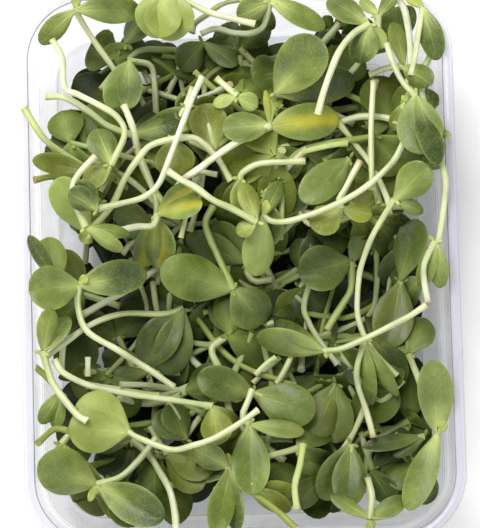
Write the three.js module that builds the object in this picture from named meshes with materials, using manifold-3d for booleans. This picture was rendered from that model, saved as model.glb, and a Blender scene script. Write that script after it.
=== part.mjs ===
// A clear tray filled with a loose heap of cut sunflower shoots.
// Millimetres, +Z up. The origin is the middle of the tray's underside, +X runs across the
// tray and +Y along it.
import * as THREE from 'three';
import { mergeVertices } from 'three/addons/utils/BufferGeometryUtils.js';
import Module from 'manifold-3d';

const wasm = await Module();
wasm.setup();

// Tray.
const TRAY_LENGTH = 189;
const TRAY_WIDTH = 147;
const TRAY_HEIGHT = 45;
const CORNER_RADIUS = 24.5;
const SHEET_THICKNESS = 0.8;
const FLANGE_WIDTH = 3.8;
const LIP_DROP = 4;
const LEDGE_HEIGHT = 30;
const LEDGE_WIDTH = 1.7;
const WALL_DRAFT = 3.4;
const FOOT_RADIUS = 1.2;
const FOOT_WIDTH = 10;
const PANEL_RISE = 1.5;
const LEAST_RADIUS = 3;
const CORNER_STEPS = 5;

// Shoots.
const STEM_DIAMETER = 2.5;
const STEM_SIDES = 5;
const STEM_STEP = 9;
const STEM_SAG = 0.8;
const BLADE_THICKNESS = 0.8;
const BLADE_TRUE_WIDTH = 12;
const BLADE_TRUE_LENGTH = 26;
const STEEPEST_ROLL = 0.55;
const STEEPEST_RISE = 0.8;
const LEAST_RISE_LIMIT = 0.35;
const TWIN_TURN = THREE.MathUtils.degToRad(24);
const CROWN_REACH = 2;
const CROWN_LOOKS = 8;
const CROWN_LIFT = 0.5;
const REST_RISE = -0.2;
const TUCKED_RISE = 0.25;
const TWIN_DROP = 0.2;
const TWIN_SHARE = 0.95;
const ARCH = [0.02, 0.09];
const CUP = [-0.02, 0.035];
const ROLL_WANDER = [-0.1, 0.1];
const NARROW = 9.6;
const LEAST_DETAIL = 0.15;

// Heap.
const GAP = 0.3;
const CELL = 1;
const SEED = 11;
const SETTLE_SWEEPS = 60;
const MARGIN_CELLS = 8;

// The photograph's camera looks at the middle of the rim.
const CAMERA_DISTANCE = 720;
const CAMERA_TILT = THREE.MathUtils.degToRad(4.7);
const PHOTO_TURN = THREE.MathUtils.degToRad(-1.5);
const REACH_MARGIN = 2;

// Bed: clumps of shoots that share one root, on the tray's floor.
const CLUMP_ROOTS = [[-31, 54], [31, 54], [-31, 0], [31, 0], [-31, -54], [31, -54], [0, 20]];
const CLUMP_SHOOTS = 4;
const BED_STEM_SIDES = 4;
const BED_STEM_DIAMETER = 3;
const BED_STEM_LENGTH = [17, 27];
const BED_BLADE_LENGTH = 17;
const BED_BLADE_WIDTH = 14;
const BED_MARGIN = 13;
const BED_REST_RISE = -0.1;
const BED_HEADING_WANDER = [-0.25, 0.25];
const BED_BEND = [-0.5, 0.5];
const BED_SPREAD = [0.4, 1.2];
const BED_CROWN_HEIGHT = [5, 17];
const CORNER_PULL = 1.4;
const BED_TOP = 20;

// Blade outline: the half width, as a share of the greatest, at each share of the length.
const BLADE_OUTLINE = [[0, 0.17], [0.2, 0.5], [0.55, 1], [0.88, 0.74], [1, 0.2]];
const NARROW_OUTLINE = [[0, 0.2], [0.35, 0.82], [0.8, 0.86], [1, 0.22]];
const BED_OUTLINE = [[0, 0.17], [0.6, 1], [1, 0.3]];

// The shoots that are seen, from the lowest to the highest. A stem's points run from its cut end
// to the crown, and each blade has its tip's place and its width. A shoot that is seen only
// from the crown up has just that point: its stem is tucked under its first blade.
const SHOOTS = [
  { stem: [[-8.5, 38]], blades: [[-12, 53.5, 13]] },
  { stem: [[33, 79.8], [28.5, 74.5], [22, 68], [15.5, 64]], blades: [[3.5, 63, 14]] },
  { stem: [[32, -40]], blades: [[24, -58, 13]] },
  { stem: [[-39.3, 3.3], [-36, 7], [-31, 11], [-29.5, 13]], blades: [[-42, 18, 9.5]] },
  {
    stem: [[-38, 58], [-42.5, 65], [-47, 71], [-51, 77], [-54, 82]],
    blades: [[-65.5, 71, 7], [-33, 84, 9]],
  },
  {
    stem: [[-72, 52], [-66, 42.5], [-60, 37.5], [-53, 33], [-50, 31]],
    blades: [[-68, 33, 7], [-41, 29.5, 6]],
  },
  { stem: [[-28, 50], [-28.5, 60], [-30, 66.5], [-37, 68]], blades: [[-43, 51, 9], [-36, 50, 9]] },
  {
    stem: [[-38.8, 53], [-36, 46], [-34, 38], [-31, 30], [-28, 22], [-27.5, 15.5]],
    blades: [[-26, -1.5, 11]],
  },
  { stem: [[-12.5, 73.8]], blades: [[-20, 65, 10], [-1, 66, 7]] },
  {
    stem: [[-13, 77], [-8, 78.5], [-2, 76.7], [4, 76.3], [8, 78.5], [10, 86]],
    blades: [[-1, 81, 8], [28, 77, 8.5]],
  },
  { stem: [[38, 47], [30, 51], [22, 54], [12, 57.5]], blades: [[27, 75, 17], [38.5, 62, 13]] },
  {
    stem: [[31, 46], [38, 48.7], [45, 49.2], [51, 48], [60, 44]],
    blades: [[71, 43, 4]],
    diameter: 2.9,
  },
  { stem: [[10.5, -5], [5, -5.8], [2.5, -3], [2, 0.5]], blades: [[-9, 13.5, 10], [-18, 9, 10]] },
  { stem: [[-61, -6]], blades: [[-64, 9, 10], [-70.5, 9.5, 5.5]] },
  {
    stem: [[-65, -32], [-58.5, -27], [-49.5, -20.5], [-39, -16.8], [-26, -16.8], [-19, -15]],
    blades: [[-33, -33, 14]],
  },
  { stem: [[-24, -46.3], [-21.5, -49.5], [-19.3, -54], [-18.3, -58.5]], blades: [[-28, -49.5, 10.5]] },
  { stem: [[-3.5, -67.5]], blades: [[-8, -90, 9], [-15, -61.5, 9], [-1, -89, 7]] },
  {
    stem: [[32.5, -33.5], [29.5, -29.5], [26, -24.8], [23, -19.5], [21.3, -14], [24, -4]],
    blades: [[24, 9.5, 9]],
  },
  { stem: [[36.5, 35]], blades: [[20.5, 21, 12]] },
  {
    stem: [[40, 34.3], [37.2, 29.2], [35, 25], [33, 21.3], [34, 18]],
    blades: [[24, 12, 11], [44, 16, 7]],
  },
  { stem: [[53.5, -5.8]], blades: [[49, -28, 14], [59, 15, 11]] },
  { stem: [[66, 7], [67.3, 14], [68.3, 22], [68.4, 29], [65.5, 39]], blades: [[61, 33, 8]] },
  { stem: [[61.5, -57.5]], blades: [[41, -61, 5.5], [51, -64, 5]] },
  { stem: [[37, -60]], blades: [[36, -81, 12]] },
  { stem: [[42.5, -71], [44, -77.5], [43.3, -85]], blades: [[30, -77, 5], [55.3, -78, 6.5]] },
  { stem: [[5, 80], [-10, 84], [-24, 92]], blades: [[-23, 74.5, 17]] },
  {
    stem: [[-62.8, 75], [-59.5, 69], [-58.5, 59], [-54, 56.5], [-41, 49], [-38.5, 43], [-43, 33]],
    blades: [[-48, 45, 10], [-52, 26, 8]],
  },
  {
    stem: [[-8.7, 36.5], [-12, 40], [-17, 42.3], [-29, 40], [-39, 29.5], [-44, 20], [-51.5, 12]],
    blades: [[-61, 28, 12], [-53, 8, 5]],
  },
  {
    stem: [[-22, 24], [-19, 28], [-14, 31.5], [-8, 36], [-2, 40], [10, 46]],
    blades: [[33, 48.5, 13], [-6, 45, 11]],
  },
  {
    stem: [[26, 50], [27.5, 56], [30.3, 64.3], [33.4, 71.5], [38, 77], [43, 80]],
    blades: [[29, 88, 9.5], [40, 67, 10], [48, 72, 6]],
    diameter: 2.7,
  },
  { stem: [[57, 63], [58.5, 70], [59.7, 78], [61, 85.5]], blades: [[66, 68, 8], [55, 90, 4]] },
  {
    stem: [[57, 47], [52.5, 36.5], [43, 26.5], [30, 19], [16, 14.3], [11, 14.2], [7.5, 16]],
    blades: [[5, -4, 11], [13.5, 27.5, 6]],
  },
  {
    stem: [[-9, 19.3], [-11.5, 14], [-10, 8.5], [-7.5, 3], [-2.3, -8.5]],
    blades: [[-26.5, -1.5, 16], [8, -20, 15]],
    diameter: 2.8,
  },
  {
    stem: [[-46.5, 8.3], [-40, 10], [-34, 12], [-29, 12.7], [-27.5, 16.5]],
    blades: [[-12.5, 20.5, 8.5]],
  },
  {
    stem: [[-48.2, 35.8], [-53, 31], [-55.5, 26.5], [-55.3, 21], [-51.5, 12.5]],
    blades: [[-39, 4.5, 5]],
  },
  {
    stem: [[-22, -41], [-29, -36], [-41, -28.5], [-51, -22.3], [-54, -14], [-53.5, -7]],
    blades: [[-70.5, -9, 15], [-31, -3, 12]],
  },
  { stem: [[4.5, -43]], blades: [[25, -50, 15], [-14.3, -37.5, 12]] },
  {
    stem: [[-21, -91], [-21.3, -88], [-21.7, -83], [-23.4, -75.5], [-30.5, -63.5], [-36, -58.5]],
    blades: [[-49, -61.5, 6]],
  },
  {
    stem: [[-61.8, -31.8], [-58.6, -36.5], [-49, -41], [-34, -43.8], [-20, -45.7], [-9, -47.5]],
    blades: [[-7, -60, 11]],
  },
  {
    stem: [[-28, -58], [-33.5, -65], [-40, -71], [-48, -73.5]],
    blades: [[-66.5, -66, 16], [-25.5, -85, 13]],
  },
  { stem: [[4, -42], [2.5, -46], [0.8, -50.5], [3, -53.5]], blades: [[4, -77, 13], [21.5, -56, 6]] },
  {
    stem: [[29, -22], [31, -18.5], [34.5, -13], [37, -8], [37, 0.8]],
    blades: [[19.7, -3.5, 16], [42, 10, 8]],
    diameter: 2.8,
  },
  {
    stem: [[51.8, -37.5], [43.7, -28.7], [39.2, -18], [39.5, -5], [44, 9], [51.5, 21.5]],
    blades: [[63, 33, 12], [61, 17, 5]],
  },
  { stem: [[62.6, -12.6], [61.5, -6], [61.5, 0], [65, 7.5]], blades: [[67, -8, 6.5]] },
  {
    stem: [[44.5, -57.8], [43, -52], [41.2, -46], [39.4, -40.5], [39, -34.5], [41.5, -26]],
    blades: [[44, -47, 5]],
  },
  { stem: [[66, -56.5]], blades: [[64, -32, 12], [56, -82, 9.5]] },
  {
    stem: [[-12.6, 62.3], [-16, 55], [-19.5, 46], [-27, 27], [-32, 22.5], [-47.5, 18.5]],
    blades: [[-57, 24, 8]],
  },
  { stem: [[48.7, 73.7], [51, 67], [54, 61], [58.5, 56]], blades: [[61, 36.5, 15.5], [66, 33, 9]] },
  {
    stem: [[-24.2, 31], [-19.5, 28], [-14.5, 25.3], [-9, 21.3], [-3, 18.6], [5.5, 14]],
    blades: [[-1, 10, 6], [1, 27, 7]],
  },
  {
    stem: [[62, -13.7], [56.5, -17.3], [50, -20.7], [43, -24.2], [34.3, -28], [28, -29]],
    blades: [[5.5, -24, 9], [12, -19, 6]],
  },
  {
    stem: [[6, -48.6], [-0.5, -53.3], [-8.6, -58], [-23, -61.8], [-33.5, -58], [-37, -56]],
    blades: [[-54.5, -46.5, 17]],
  },
  {
    stem: [[-51, -52.3], [-54.5, -50], [-61.5, -41.2], [-63.8, -36], [-66, -29]],
    blades: [[-57, -17.5, 7]],
  },
];

const random = (low, high) => THREE.MathUtils.lerp(low, high, THREE.MathUtils.seededRandom());

// Where a spot of the photograph lies over the tray, given its height there.
function plan([x, y], z) {
  const spot = new THREE.Vector2(x, y).rotateAround(new THREE.Vector2(), PHOTO_TURN);
  const [sin, cos] = [Math.sin(CAMERA_TILT), Math.cos(CAMERA_TILT)];
  const ray = new THREE.Vector2(spot.x, CAMERA_DISTANCE * sin + spot.y * cos);
  const share = (TRAY_HEIGHT + CAMERA_DISTANCE * cos - z) / (CAMERA_DISTANCE * cos - spot.y * sin);
  const place = ray.multiplyScalar(share).setY(ray.y - CAMERA_DISTANCE * sin);
  const reach = new THREE.Vector2(TRAY_WIDTH, TRAY_LENGTH).multiplyScalar(0.5).subScalar(REACH_MARGIN);
  return place.clamp(reach.clone().negate(), reach);
}

// How far a place lies inside the flange's outer edge, seen from above.
function insetAt(x, y) {
  const cornerX = Math.abs(x) - TRAY_WIDTH / 2 + CORNER_RADIUS;
  const cornerY = Math.abs(y) - TRAY_LENGTH / 2 + CORNER_RADIUS;
  const beyond = Math.hypot(Math.max(cornerX, 0), Math.max(cornerY, 0));
  return CORNER_RADIUS - beyond - Math.min(Math.max(cornerX, cornerY), 0);
}

// Insets of the tray's inner face, from the mouth down to the floor.
const LEDGE_INSET = FLANGE_WIDTH + WALL_DRAFT / 3;
const FLOOR_INSET = FLANGE_WIDTH + WALL_DRAFT + LEDGE_WIDTH;
const FOOT_INSET = FLOOR_INSET + FOOT_RADIUS;
const PANEL_INSET = FOOT_INSET + FOOT_WIDTH;
const INNER_WALL = [
  [0, TRAY_HEIGHT],
  [FLANGE_WIDTH, TRAY_HEIGHT],
  [LEDGE_INSET, LEDGE_HEIGHT + LEDGE_WIDTH],
  [LEDGE_INSET + LEDGE_WIDTH, LEDGE_HEIGHT],
  [FLOOR_INSET, SHEET_THICKNESS + FOOT_RADIUS],
  [FOOT_INSET, SHEET_THICKNESS],
  [PANEL_INSET, SHEET_THICKNESS],
  [PANEL_INSET + PANEL_RISE, SHEET_THICKNESS + PANEL_RISE],
];

// Height of the tray's inner face under a place.
function trayHeight(x, y) {
  const inset = insetAt(x, y);
  const beyond = INNER_WALL.findIndex(([reach]) => reach > inset);
  if (beyond === 0) return TRAY_HEIGHT;
  if (beyond < 0) return SHEET_THICKNESS + PANEL_RISE;
  const [outer, high] = INNER_WALL[beyond - 1];
  const [inner, low] = INNER_WALL[beyond];
  return THREE.MathUtils.mapLinear(inset, outer, inner, high, low);
}

// The surface of the heap so far: the highest point in each cell, seen from above.
class HeapSurface {
  constructor() {
    this.columns = Math.ceil(TRAY_WIDTH / CELL) + MARGIN_CELLS;
    this.rows = Math.ceil(TRAY_LENGTH / CELL) + MARGIN_CELLS;
    this.heights = new Float64Array(this.columns * this.rows);
    for (let row = 0; row < this.rows; row++) {
      for (let column = 0; column < this.columns; column++) {
        const x = (column + 0.5 - this.columns / 2) * CELL;
        const y = (row + 0.5 - this.rows / 2) * CELL;
        const outer = trayHeight(x + Math.sign(x) * CELL, y + Math.sign(y) * CELL);
        this.heights[row * this.columns + column] = outer;
      }
    }
  }

  cell(x, y) {
    const column = THREE.MathUtils.clamp(Math.floor(x / CELL + this.columns / 2), 1, this.columns - 2);
    const row = THREE.MathUtils.clamp(Math.floor(y / CELL + this.rows / 2), 1, this.rows - 2);
    return row * this.columns + column;
  }

  height(x, y) {
    return this.heights[this.cell(x, y)];
  }

  // Fills every low place up to a height.
  fill(z) {
    this.heights.forEach((height, index) => {
      this.heights[index] = Math.max(height, z);
    });
  }

  // Raises a cell and the eight around it.
  raise(x, y, z) {
    const middle = this.cell(x, y);
    for (const line of [middle - this.columns, middle, middle + this.columns]) {
      for (const cell of [line - 1, line, line + 1]) {
        this.heights[cell] = Math.max(this.heights[cell], z);
      }
    }
  }
}

// A stem as seen from above, with the height of each of its points.
class Stem {
  constructor(points, diameter) {
    this.radius = diameter / 2;
    const flat = points.map(({ x, y }) => new THREE.Vector3(x, y, 0));
    const curve = new THREE.CatmullRomCurve3(flat, false, 'catmullrom');
    this.points = [];
    this.marks = [];
    for (let span = 0; span < points.length - 1; span++) {
      this.marks.push(this.points.length);
      const steps = Math.max(1, Math.round(points[span].distanceTo(points[span + 1]) / STEM_STEP));
      for (let step = 0; step < steps; step++) {
        this.points.push(curve.getPoint((span + step / steps) / (points.length - 1)));
      }
    }
    this.marks.push(this.points.length);
    this.points.push(curve.getPoint(1));
    this.needs = this.points.map(() => 0);
  }

  get crown() {
    return this.points.at(-1);
  }

  // Calls visit with places across the stem between two of its points.
  sweep(index, visit) {
    const from = this.points[index];
    const to = this.points[index + 1];
    const along = to.clone().sub(from).setZ(0);
    const length = along.length();
    along.normalize();
    const reach = this.radius + CELL / 2;
    const steps = Math.ceil(length / CELL);
    for (let step = 0; step <= steps; step++) {
      const centre = from.clone().lerp(to, step / steps);
      for (const side of [-reach, 0, reach]) {
        visit(centre.x - along.y * side, centre.y + along.x * side, centre.z);
      }
    }
  }

  // Finds the least height that each point needs over the heap.
  measure(heap) {
    for (let index = 0; index < this.points.length - 1; index++) {
      let top = 0;
      this.sweep(index, (x, y) => {
        top = Math.max(top, heap.height(x, y));
      });
      const need = top + this.radius + GAP;
      this.needs[index] = Math.max(this.needs[index], need);
      this.needs[index + 1] = Math.max(this.needs[index + 1], need);
    }
    const last = this.points.length - 1;
    for (let turn = 0; turn < CROWN_LOOKS; turn++) {
      const angle = (2 * Math.PI * turn) / CROWN_LOOKS;
      const x = this.crown.x + CROWN_REACH * Math.cos(angle);
      const y = this.crown.y + CROWN_REACH * Math.sin(angle);
      this.needs[last] = Math.max(this.needs[last], heap.height(x, y) + this.radius + GAP);
    }
  }

  // Lets the stem sag between the places that hold it up, as a springy rod does.
  relax() {
    const last = this.points.length - 1;
    this.points.forEach((point, index) => {
      point.z = this.needs[index];
    });
    for (let sweep = 0; sweep < SETTLE_SWEEPS; sweep++) {
      for (let index = 0; index <= last; index++) {
        const before = this.points[Math.max(index - 1, 0)].z;
        const after = this.points[Math.min(index + 1, last)].z;
        this.points[index].z = Math.max(this.needs[index], (before + after) / 2 - STEM_SAG);
      }
    }
  }

  stamp(heap) {
    for (let index = 0; index < this.points.length - 1; index++) {
      this.sweep(index, (x, y, z) => heap.raise(x, y, z + this.radius));
    }
  }

  solid(sides) {
    const section = new THREE.Shape();
    for (let side = 0; side < sides; side++) {
      const angle = (2 * Math.PI * side) / sides;
      const x = this.radius * Math.cos(angle);
      const y = this.radius * Math.sin(angle);
      if (side === 0) section.moveTo(x, y);
      else section.lineTo(x, y);
    }
    const extrudePath = new THREE.CatmullRomCurve3(this.points, false, 'catmullrom');
    const steps = this.points.length - 1;
    return toSolid(new THREE.ExtrudeGeometry(section, { extrudePath, steps, bevelEnabled: false }));
  }
}

// A seed leaf: a plate over a line from the crown to its tip. A formula gives its height at
// each place.
class Blade {
  constructor(crown, tip, width, outline, restRise) {
    this.crown = crown;
    this.outline = outline;
    this.along = new THREE.Vector2(tip.x - crown.x, tip.y - crown.y);
    this.length = this.along.length();
    this.along.normalize();
    this.halfWidth = width / 2;
    this.rise = restRise;
    const narrow = Math.max(BLADE_TRUE_WIDTH / width, 1);
    const steepness = Math.min(Math.sqrt(narrow * narrow - 1), STEEPEST_ROLL);
    this.roll = (random(0, 1) < 0.5 ? -1 : 1) * steepness + random(...ROLL_WANDER);
    this.arch = random(...ARCH);
    this.cup = random(...CUP);
    const stretch = Math.max(BLADE_TRUE_LENGTH / this.length, 1);
    const steepest = Math.sqrt(stretch * stretch - 1);
    this.riseLimit = THREE.MathUtils.clamp(steepest, LEAST_RISE_LIMIT, STEEPEST_RISE);
  }

  widthShare(u) {
    const next = Math.max(this.outline.findIndex(([share]) => share >= u), 1);
    const [from, narrow] = this.outline[next - 1];
    const [to, wide] = this.outline[next];
    return THREE.MathUtils.mapLinear(u, from, to, narrow, wide);
  }

  // Height over the crown without the rise: u runs from the root to the tip, side across in mm.
  lift(u, side) {
    return this.arch * this.length * 4 * u * (1 - u) + this.roll * side + this.cup * side * side;
  }

  place(u, side) {
    const x = this.crown.x + this.along.x * this.length * u - this.along.y * side;
    const y = this.crown.y + this.along.y * this.length * u + this.along.x * side;
    return new THREE.Vector3(x, y, this.crown.z + this.rise * this.length * u + this.lift(u, side));
  }

  get halfThickness() {
    return (BLADE_THICKNESS / 2) * Math.hypot(1, this.rise, this.roll);
  }

  // Calls visit with places spread over the blade, about half a cell apart.
  cover(visit) {
    const rows = Math.ceil(this.length / CELL) + 1;
    for (let row = 0; row <= rows; row++) {
      const u = row / rows;
      const half = this.halfWidth * this.widthShare(u);
      const columns = Math.ceil(half / CELL) + 1;
      for (let column = -columns; column <= columns; column++) {
        visit(u, (half * column) / columns);
      }
    }
  }

  // The rise that clears the heap with the crown where it is.
  riseOver(heap) {
    let rise = this.rise;
    this.cover((u, side) => {
      if (u < CROWN_REACH / this.length) return;
      const point = this.place(u, side);
      const base = this.crown.z + this.lift(u, side);
      const need = heap.height(point.x, point.y) + GAP + this.halfThickness;
      rise = Math.max(rise, (need - base) / (u * this.length));
    });
    return rise;
  }

  stamp(heap) {
    this.cover((u, side) => {
      const point = this.place(u, side);
      heap.raise(point.x, point.y, point.z + this.halfThickness);
    });
  }

  solid() {
    const up = new THREE.Vector3(0, 0, this.halfThickness);
    const rings = this.outline.map(([u, share]) => {
      const half = this.halfWidth * share;
      const edge = [this.place(u, half), this.place(u, 0), this.place(u, -half)];
      return [
        ...edge.map((point) => point.clone().add(up)),
        ...edge.reverse().map((point) => point.clone().sub(up)),
      ];
    });
    return toSolid(skinOver(rings, 1, 3));
  }
}

// A closed surface over a row of rings. The end caps fan out from one point of the ring, and the
// quads from flipFrom on are split along their other diagonal.
function skinOver(rings, apex, flipFrom) {
  const size = rings[0].length;
  const index = [];
  const at = (ring, point) => ring * size + (point % size);
  for (let ring = 0; ring < rings.length - 1; ring++) {
    for (let point = 0; point < size; point++) {
      const [a, b] = [at(ring, point), at(ring, point + 1)];
      const [d, c] = [at(ring + 1, point), at(ring + 1, point + 1)];
      if (point >= flipFrom) index.push(a, b, d, b, c, d);
      else index.push(a, b, c, a, c, d);
    }
  }
  const end = rings.length - 1;
  for (let step = 1; step < size - 1; step++) {
    index.push(at(0, apex), at(0, apex + step + 1), at(0, apex + step));
    index.push(at(end, apex), at(end, apex + step), at(end, apex + step + 1));
  }
  const geometry = new THREE.BufferGeometry().setFromPoints(rings.flat());
  geometry.setIndex(index);
  return geometry;
}

function toSolid(geometry) {
  geometry.deleteAttribute('normal');
  geometry.deleteAttribute('uv');
  const merged = mergeVertices(geometry, 1e-4);
  const vertProperties = merged.attributes.position.array;
  const triVerts = new Uint32Array(merged.index.array);
  return new wasm.Manifold(new wasm.Mesh({ numProp: 3, vertProperties, triVerts }));
}

function toMesh(name, solid, material) {
  const { vertProperties, triVerts } = solid.getMesh();
  const geometry = new THREE.BufferGeometry();
  geometry.setAttribute('position', new THREE.BufferAttribute(vertProperties, 3));
  geometry.setIndex(new THREE.BufferAttribute(triVerts, 1));
  geometry.computeVertexNormals();
  const mesh = new THREE.Mesh(geometry, material);
  mesh.name = name;
  return mesh;
}

// A shoot: its stem and its seed leaves, settled on the heap.
class Shoot {
  constructor(stem, blades) {
    this.stem = stem;
    this.blades = blades;
  }

  settle(heap) {
    const last = this.stem.points.length - 1;
    this.stem.measure(heap);
    this.stem.relax();
    for (const blade of this.blades) {
      while (blade.riseOver(heap) > blade.riseLimit) {
        this.stem.needs[last] = this.stem.crown.z + CROWN_LIFT;
        this.stem.relax();
      }
    }
    for (const blade of this.blades) blade.rise = blade.riseOver(heap);
  }

  // Heights of the points that the stem was drawn through, and of the blades' tips.
  get heights() {
    return {
      stem: this.stem.marks.map((mark) => this.stem.points[mark].z),
      tips: this.blades.map((blade) => blade.place(1, 0).z),
    };
  }

  stamp(heap) {
    this.stem.stamp(heap);
    for (const blade of this.blades) blade.stamp(heap);
  }

  solid(sides) {
    return this.blades.reduce((whole, blade) => whole.add(blade.solid()), this.stem.solid(sides));
  }
}

// A shoot as it is seen, with its points at the given heights. A stem that isn't seen is tucked
// under the first blade, and a blade that isn't seen lies just under the other one.
function seenShoot({ stem, blades, diameter = STEM_DIAMETER }, heights) {
  const fromEnd = heights.stem.slice(-stem.length);
  const points = stem.map((spot, index) => plan(spot, fromEnd[index]));
  const tips = blades.map(([x, y], index) => plan([x, y], heights.tips[index]));
  const tucked = points.length === 1;
  if (tucked) {
    const [crown] = points;
    points.unshift(tips[0].clone().lerp(crown, 0.1), tips[0].clone().lerp(crown, 0.5));
  }
  const rod = new Stem(points, diameter);
  const restRise = tucked ? TUCKED_RISE : REST_RISE;
  const outline = (width) => (width < NARROW ? NARROW_OUTLINE : BLADE_OUTLINE);
  const leaves = blades.map(([, , width], index) => {
    return new Blade(rod.crown, tips[index], width, outline(width), restRise);
  });
  if (leaves.length === 1) {
    const turn = random(0, 1) < 0.5 ? TWIN_TURN : -TWIN_TURN;
    const tip = tips[0].clone().rotateAround(new THREE.Vector2(rod.crown.x, rod.crown.y), turn);
    const width = TWIN_SHARE * blades[0][2];
    leaves.push(new Blade(rod.crown, tip, width, NARROW_OUTLINE, restRise - TWIN_DROP));
  }
  return new Shoot(rod, leaves);
}

// Keeps a place of the bed clear of the tray's walls.
function onFloor(x, y) {
  const reachX = TRAY_WIDTH / 2 - BED_MARGIN;
  const reachY = TRAY_LENGTH / 2 - BED_MARGIN;
  const place = new THREE.Vector2(x, y).clamp(
    new THREE.Vector2(-reachX, -reachY),
    new THREE.Vector2(reachX, reachY),
  );
  const short = BED_MARGIN - insetAt(place.x, place.y);
  return short > 0 ? place.setLength(place.length() - CORNER_PULL * short) : place;
}

// One of the bed's shoots: it runs out from the clump's root at the given heading.
function bedShoot([rootX, rootY], heading) {
  const length = random(...BED_STEM_LENGTH);
  const bend = random(...BED_BEND);
  const root = onFloor(rootX, rootY);
  const half = length / 2;
  const turned = heading + bend;
  const middle = onFloor(root.x + half * Math.cos(heading), root.y + half * Math.sin(heading));
  const crown = onFloor(middle.x + half * Math.cos(turned), middle.y + half * Math.sin(turned));
  const rod = new Stem([root, middle, crown], BED_STEM_DIAMETER);
  rod.needs.fill(random(...BED_CROWN_HEIGHT), -1);
  const leaves = [-1, 1].map((side) => {
    const angle = turned + side * random(...BED_SPREAD);
    const reach = new THREE.Vector2(BED_BLADE_LENGTH, 0).rotateAround(new THREE.Vector2(), angle);
    const tip = onFloor(crown.x + reach.x, crown.y + reach.y);
    return new Blade(rod.crown, tip, BED_BLADE_WIDTH, BED_OUTLINE, BED_REST_RISE);
  });
  return new Shoot(rod, leaves);
}

// A clump: its shoots lie on the same heap and share the height of their root.
function clump(heap, root) {
  const shoots = [];
  for (let index = 0; index < CLUMP_SHOOTS; index++) {
    const heading = (2 * Math.PI * (index + random(...BED_HEADING_WANDER))) / CLUMP_SHOOTS;
    shoots.push(bedShoot(root, heading));
  }
  for (const shoot of shoots) shoot.settle(heap);
  const rootHeight = Math.max(...shoots.map((shoot) => shoot.stem.points[0].z));
  for (const shoot of shoots) {
    shoot.stem.needs[0] = rootHeight;
    shoot.settle(heap);
  }
  for (const shoot of shoots) shoot.stamp(heap);
  const solids = shoots.map((shoot) => shoot.solid(BED_STEM_SIDES));
  return largest(solids.reduce((whole, next) => whole.add(next)));
}

// The largest body, without the slivers that joining leaves.
function largest(solid) {
  const pieces = solid.simplify(LEAST_DETAIL).decompose();
  return pieces.reduce((best, piece) => (piece.volume() > best.volume() ? piece : best));
}

// The tray: rounded rectangles from the middle of the underside, out over the foot, up the
// outside, over the flange and its lip, and down the inside to the middle of the floor.
function tray() {
  const outside = (inset) => inset - SHEET_THICKNESS;
  const profile = [
    [outside(PANEL_INSET) + PANEL_RISE + SHEET_THICKNESS, PANEL_RISE],
    [PANEL_INSET, 0],
    [FOOT_INSET, 0],
    [outside(FLOOR_INSET), FOOT_RADIUS],
    [outside(LEDGE_INSET) + LEDGE_WIDTH, LEDGE_HEIGHT],
    [outside(LEDGE_INSET), LEDGE_HEIGHT + LEDGE_WIDTH],
    [outside(FLANGE_WIDTH), TRAY_HEIGHT - SHEET_THICKNESS],
    [SHEET_THICKNESS, TRAY_HEIGHT - SHEET_THICKNESS],
    [SHEET_THICKNESS, TRAY_HEIGHT - LIP_DROP],
    [0, TRAY_HEIGHT - LIP_DROP],
    [0, TRAY_HEIGHT - SHEET_THICKNESS],
    [SHEET_THICKNESS, TRAY_HEIGHT],
    ...INNER_WALL.slice(1),
  ];
  return skinOver(profile.map(([inset, z]) => ring(inset, z)), 0, Infinity);
}

function ring(inset, z) {
  const radius = Math.max(CORNER_RADIUS - inset, LEAST_RADIUS);
  const centreX = TRAY_WIDTH / 2 - inset - radius;
  const centreY = TRAY_LENGTH / 2 - inset - radius;
  const points = [];
  for (const [index, [signX, signY]] of [[1, 1], [-1, 1], [-1, -1], [1, -1]].entries()) {
    for (let step = 0; step <= CORNER_STEPS; step++) {
      const angle = ((index + step / CORNER_STEPS) * Math.PI) / 2;
      const x = signX * centreX + radius * Math.cos(angle);
      points.push(new THREE.Vector3(x, signY * centreY + radius * Math.sin(angle), z));
    }
  }
  return points;
}

const clearPlastic = new THREE.MeshStandardMaterial({ color: 0xe4e6ee, roughness: 0.12, metalness: 0 });
const bedGreen = new THREE.MeshStandardMaterial({ color: 0x4f6a38, roughness: 0.6, metalness: 0 });
const shootGreen = new THREE.MeshStandardMaterial({ color: 0x7f9a5c, roughness: 0.5, metalness: 0 });

// Settles a seen shoot twice: the first time shows how high its points lie.
function settledShoot(seen, seed, heap) {
  let heights = { stem: seen.stem.map(() => TRAY_HEIGHT), tips: seen.blades.map(() => TRAY_HEIGHT) };
  let shoot;
  for (let round = 0; round < 2; round++) {
    THREE.MathUtils.seededRandom(seed);
    shoot = seenShoot(seen, heights);
    shoot.settle(heap);
    heights = shoot.heights;
  }
  shoot.stamp(heap);
  return shoot;
}

THREE.MathUtils.seededRandom(SEED);
const heap = new HeapSurface();
const part = new THREE.Group();
part.add(toMesh('tray', toSolid(tray()), clearPlastic));
CLUMP_ROOTS.forEach((root, index) => {
  part.add(toMesh(`clump_${index + 1}`, clump(heap, root), bedGreen));
});
heap.fill(BED_TOP);
SHOOTS.forEach((seen, index) => {
  const shoot = settledShoot(seen, SEED + index, heap);
  const number = String(index + 1).padStart(2, '0');
  part.add(toMesh(`shoot_${number}`, largest(shoot.solid(STEM_SIDES)), shootGreen));
});

export default part;
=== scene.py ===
"""A clear tray filled with a loose heap of cut sunflower shoots, dressed round its solids."""

import logging
import math
from collections.abc import Callable, Iterable
from dataclasses import dataclass, field
from enum import Enum

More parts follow.
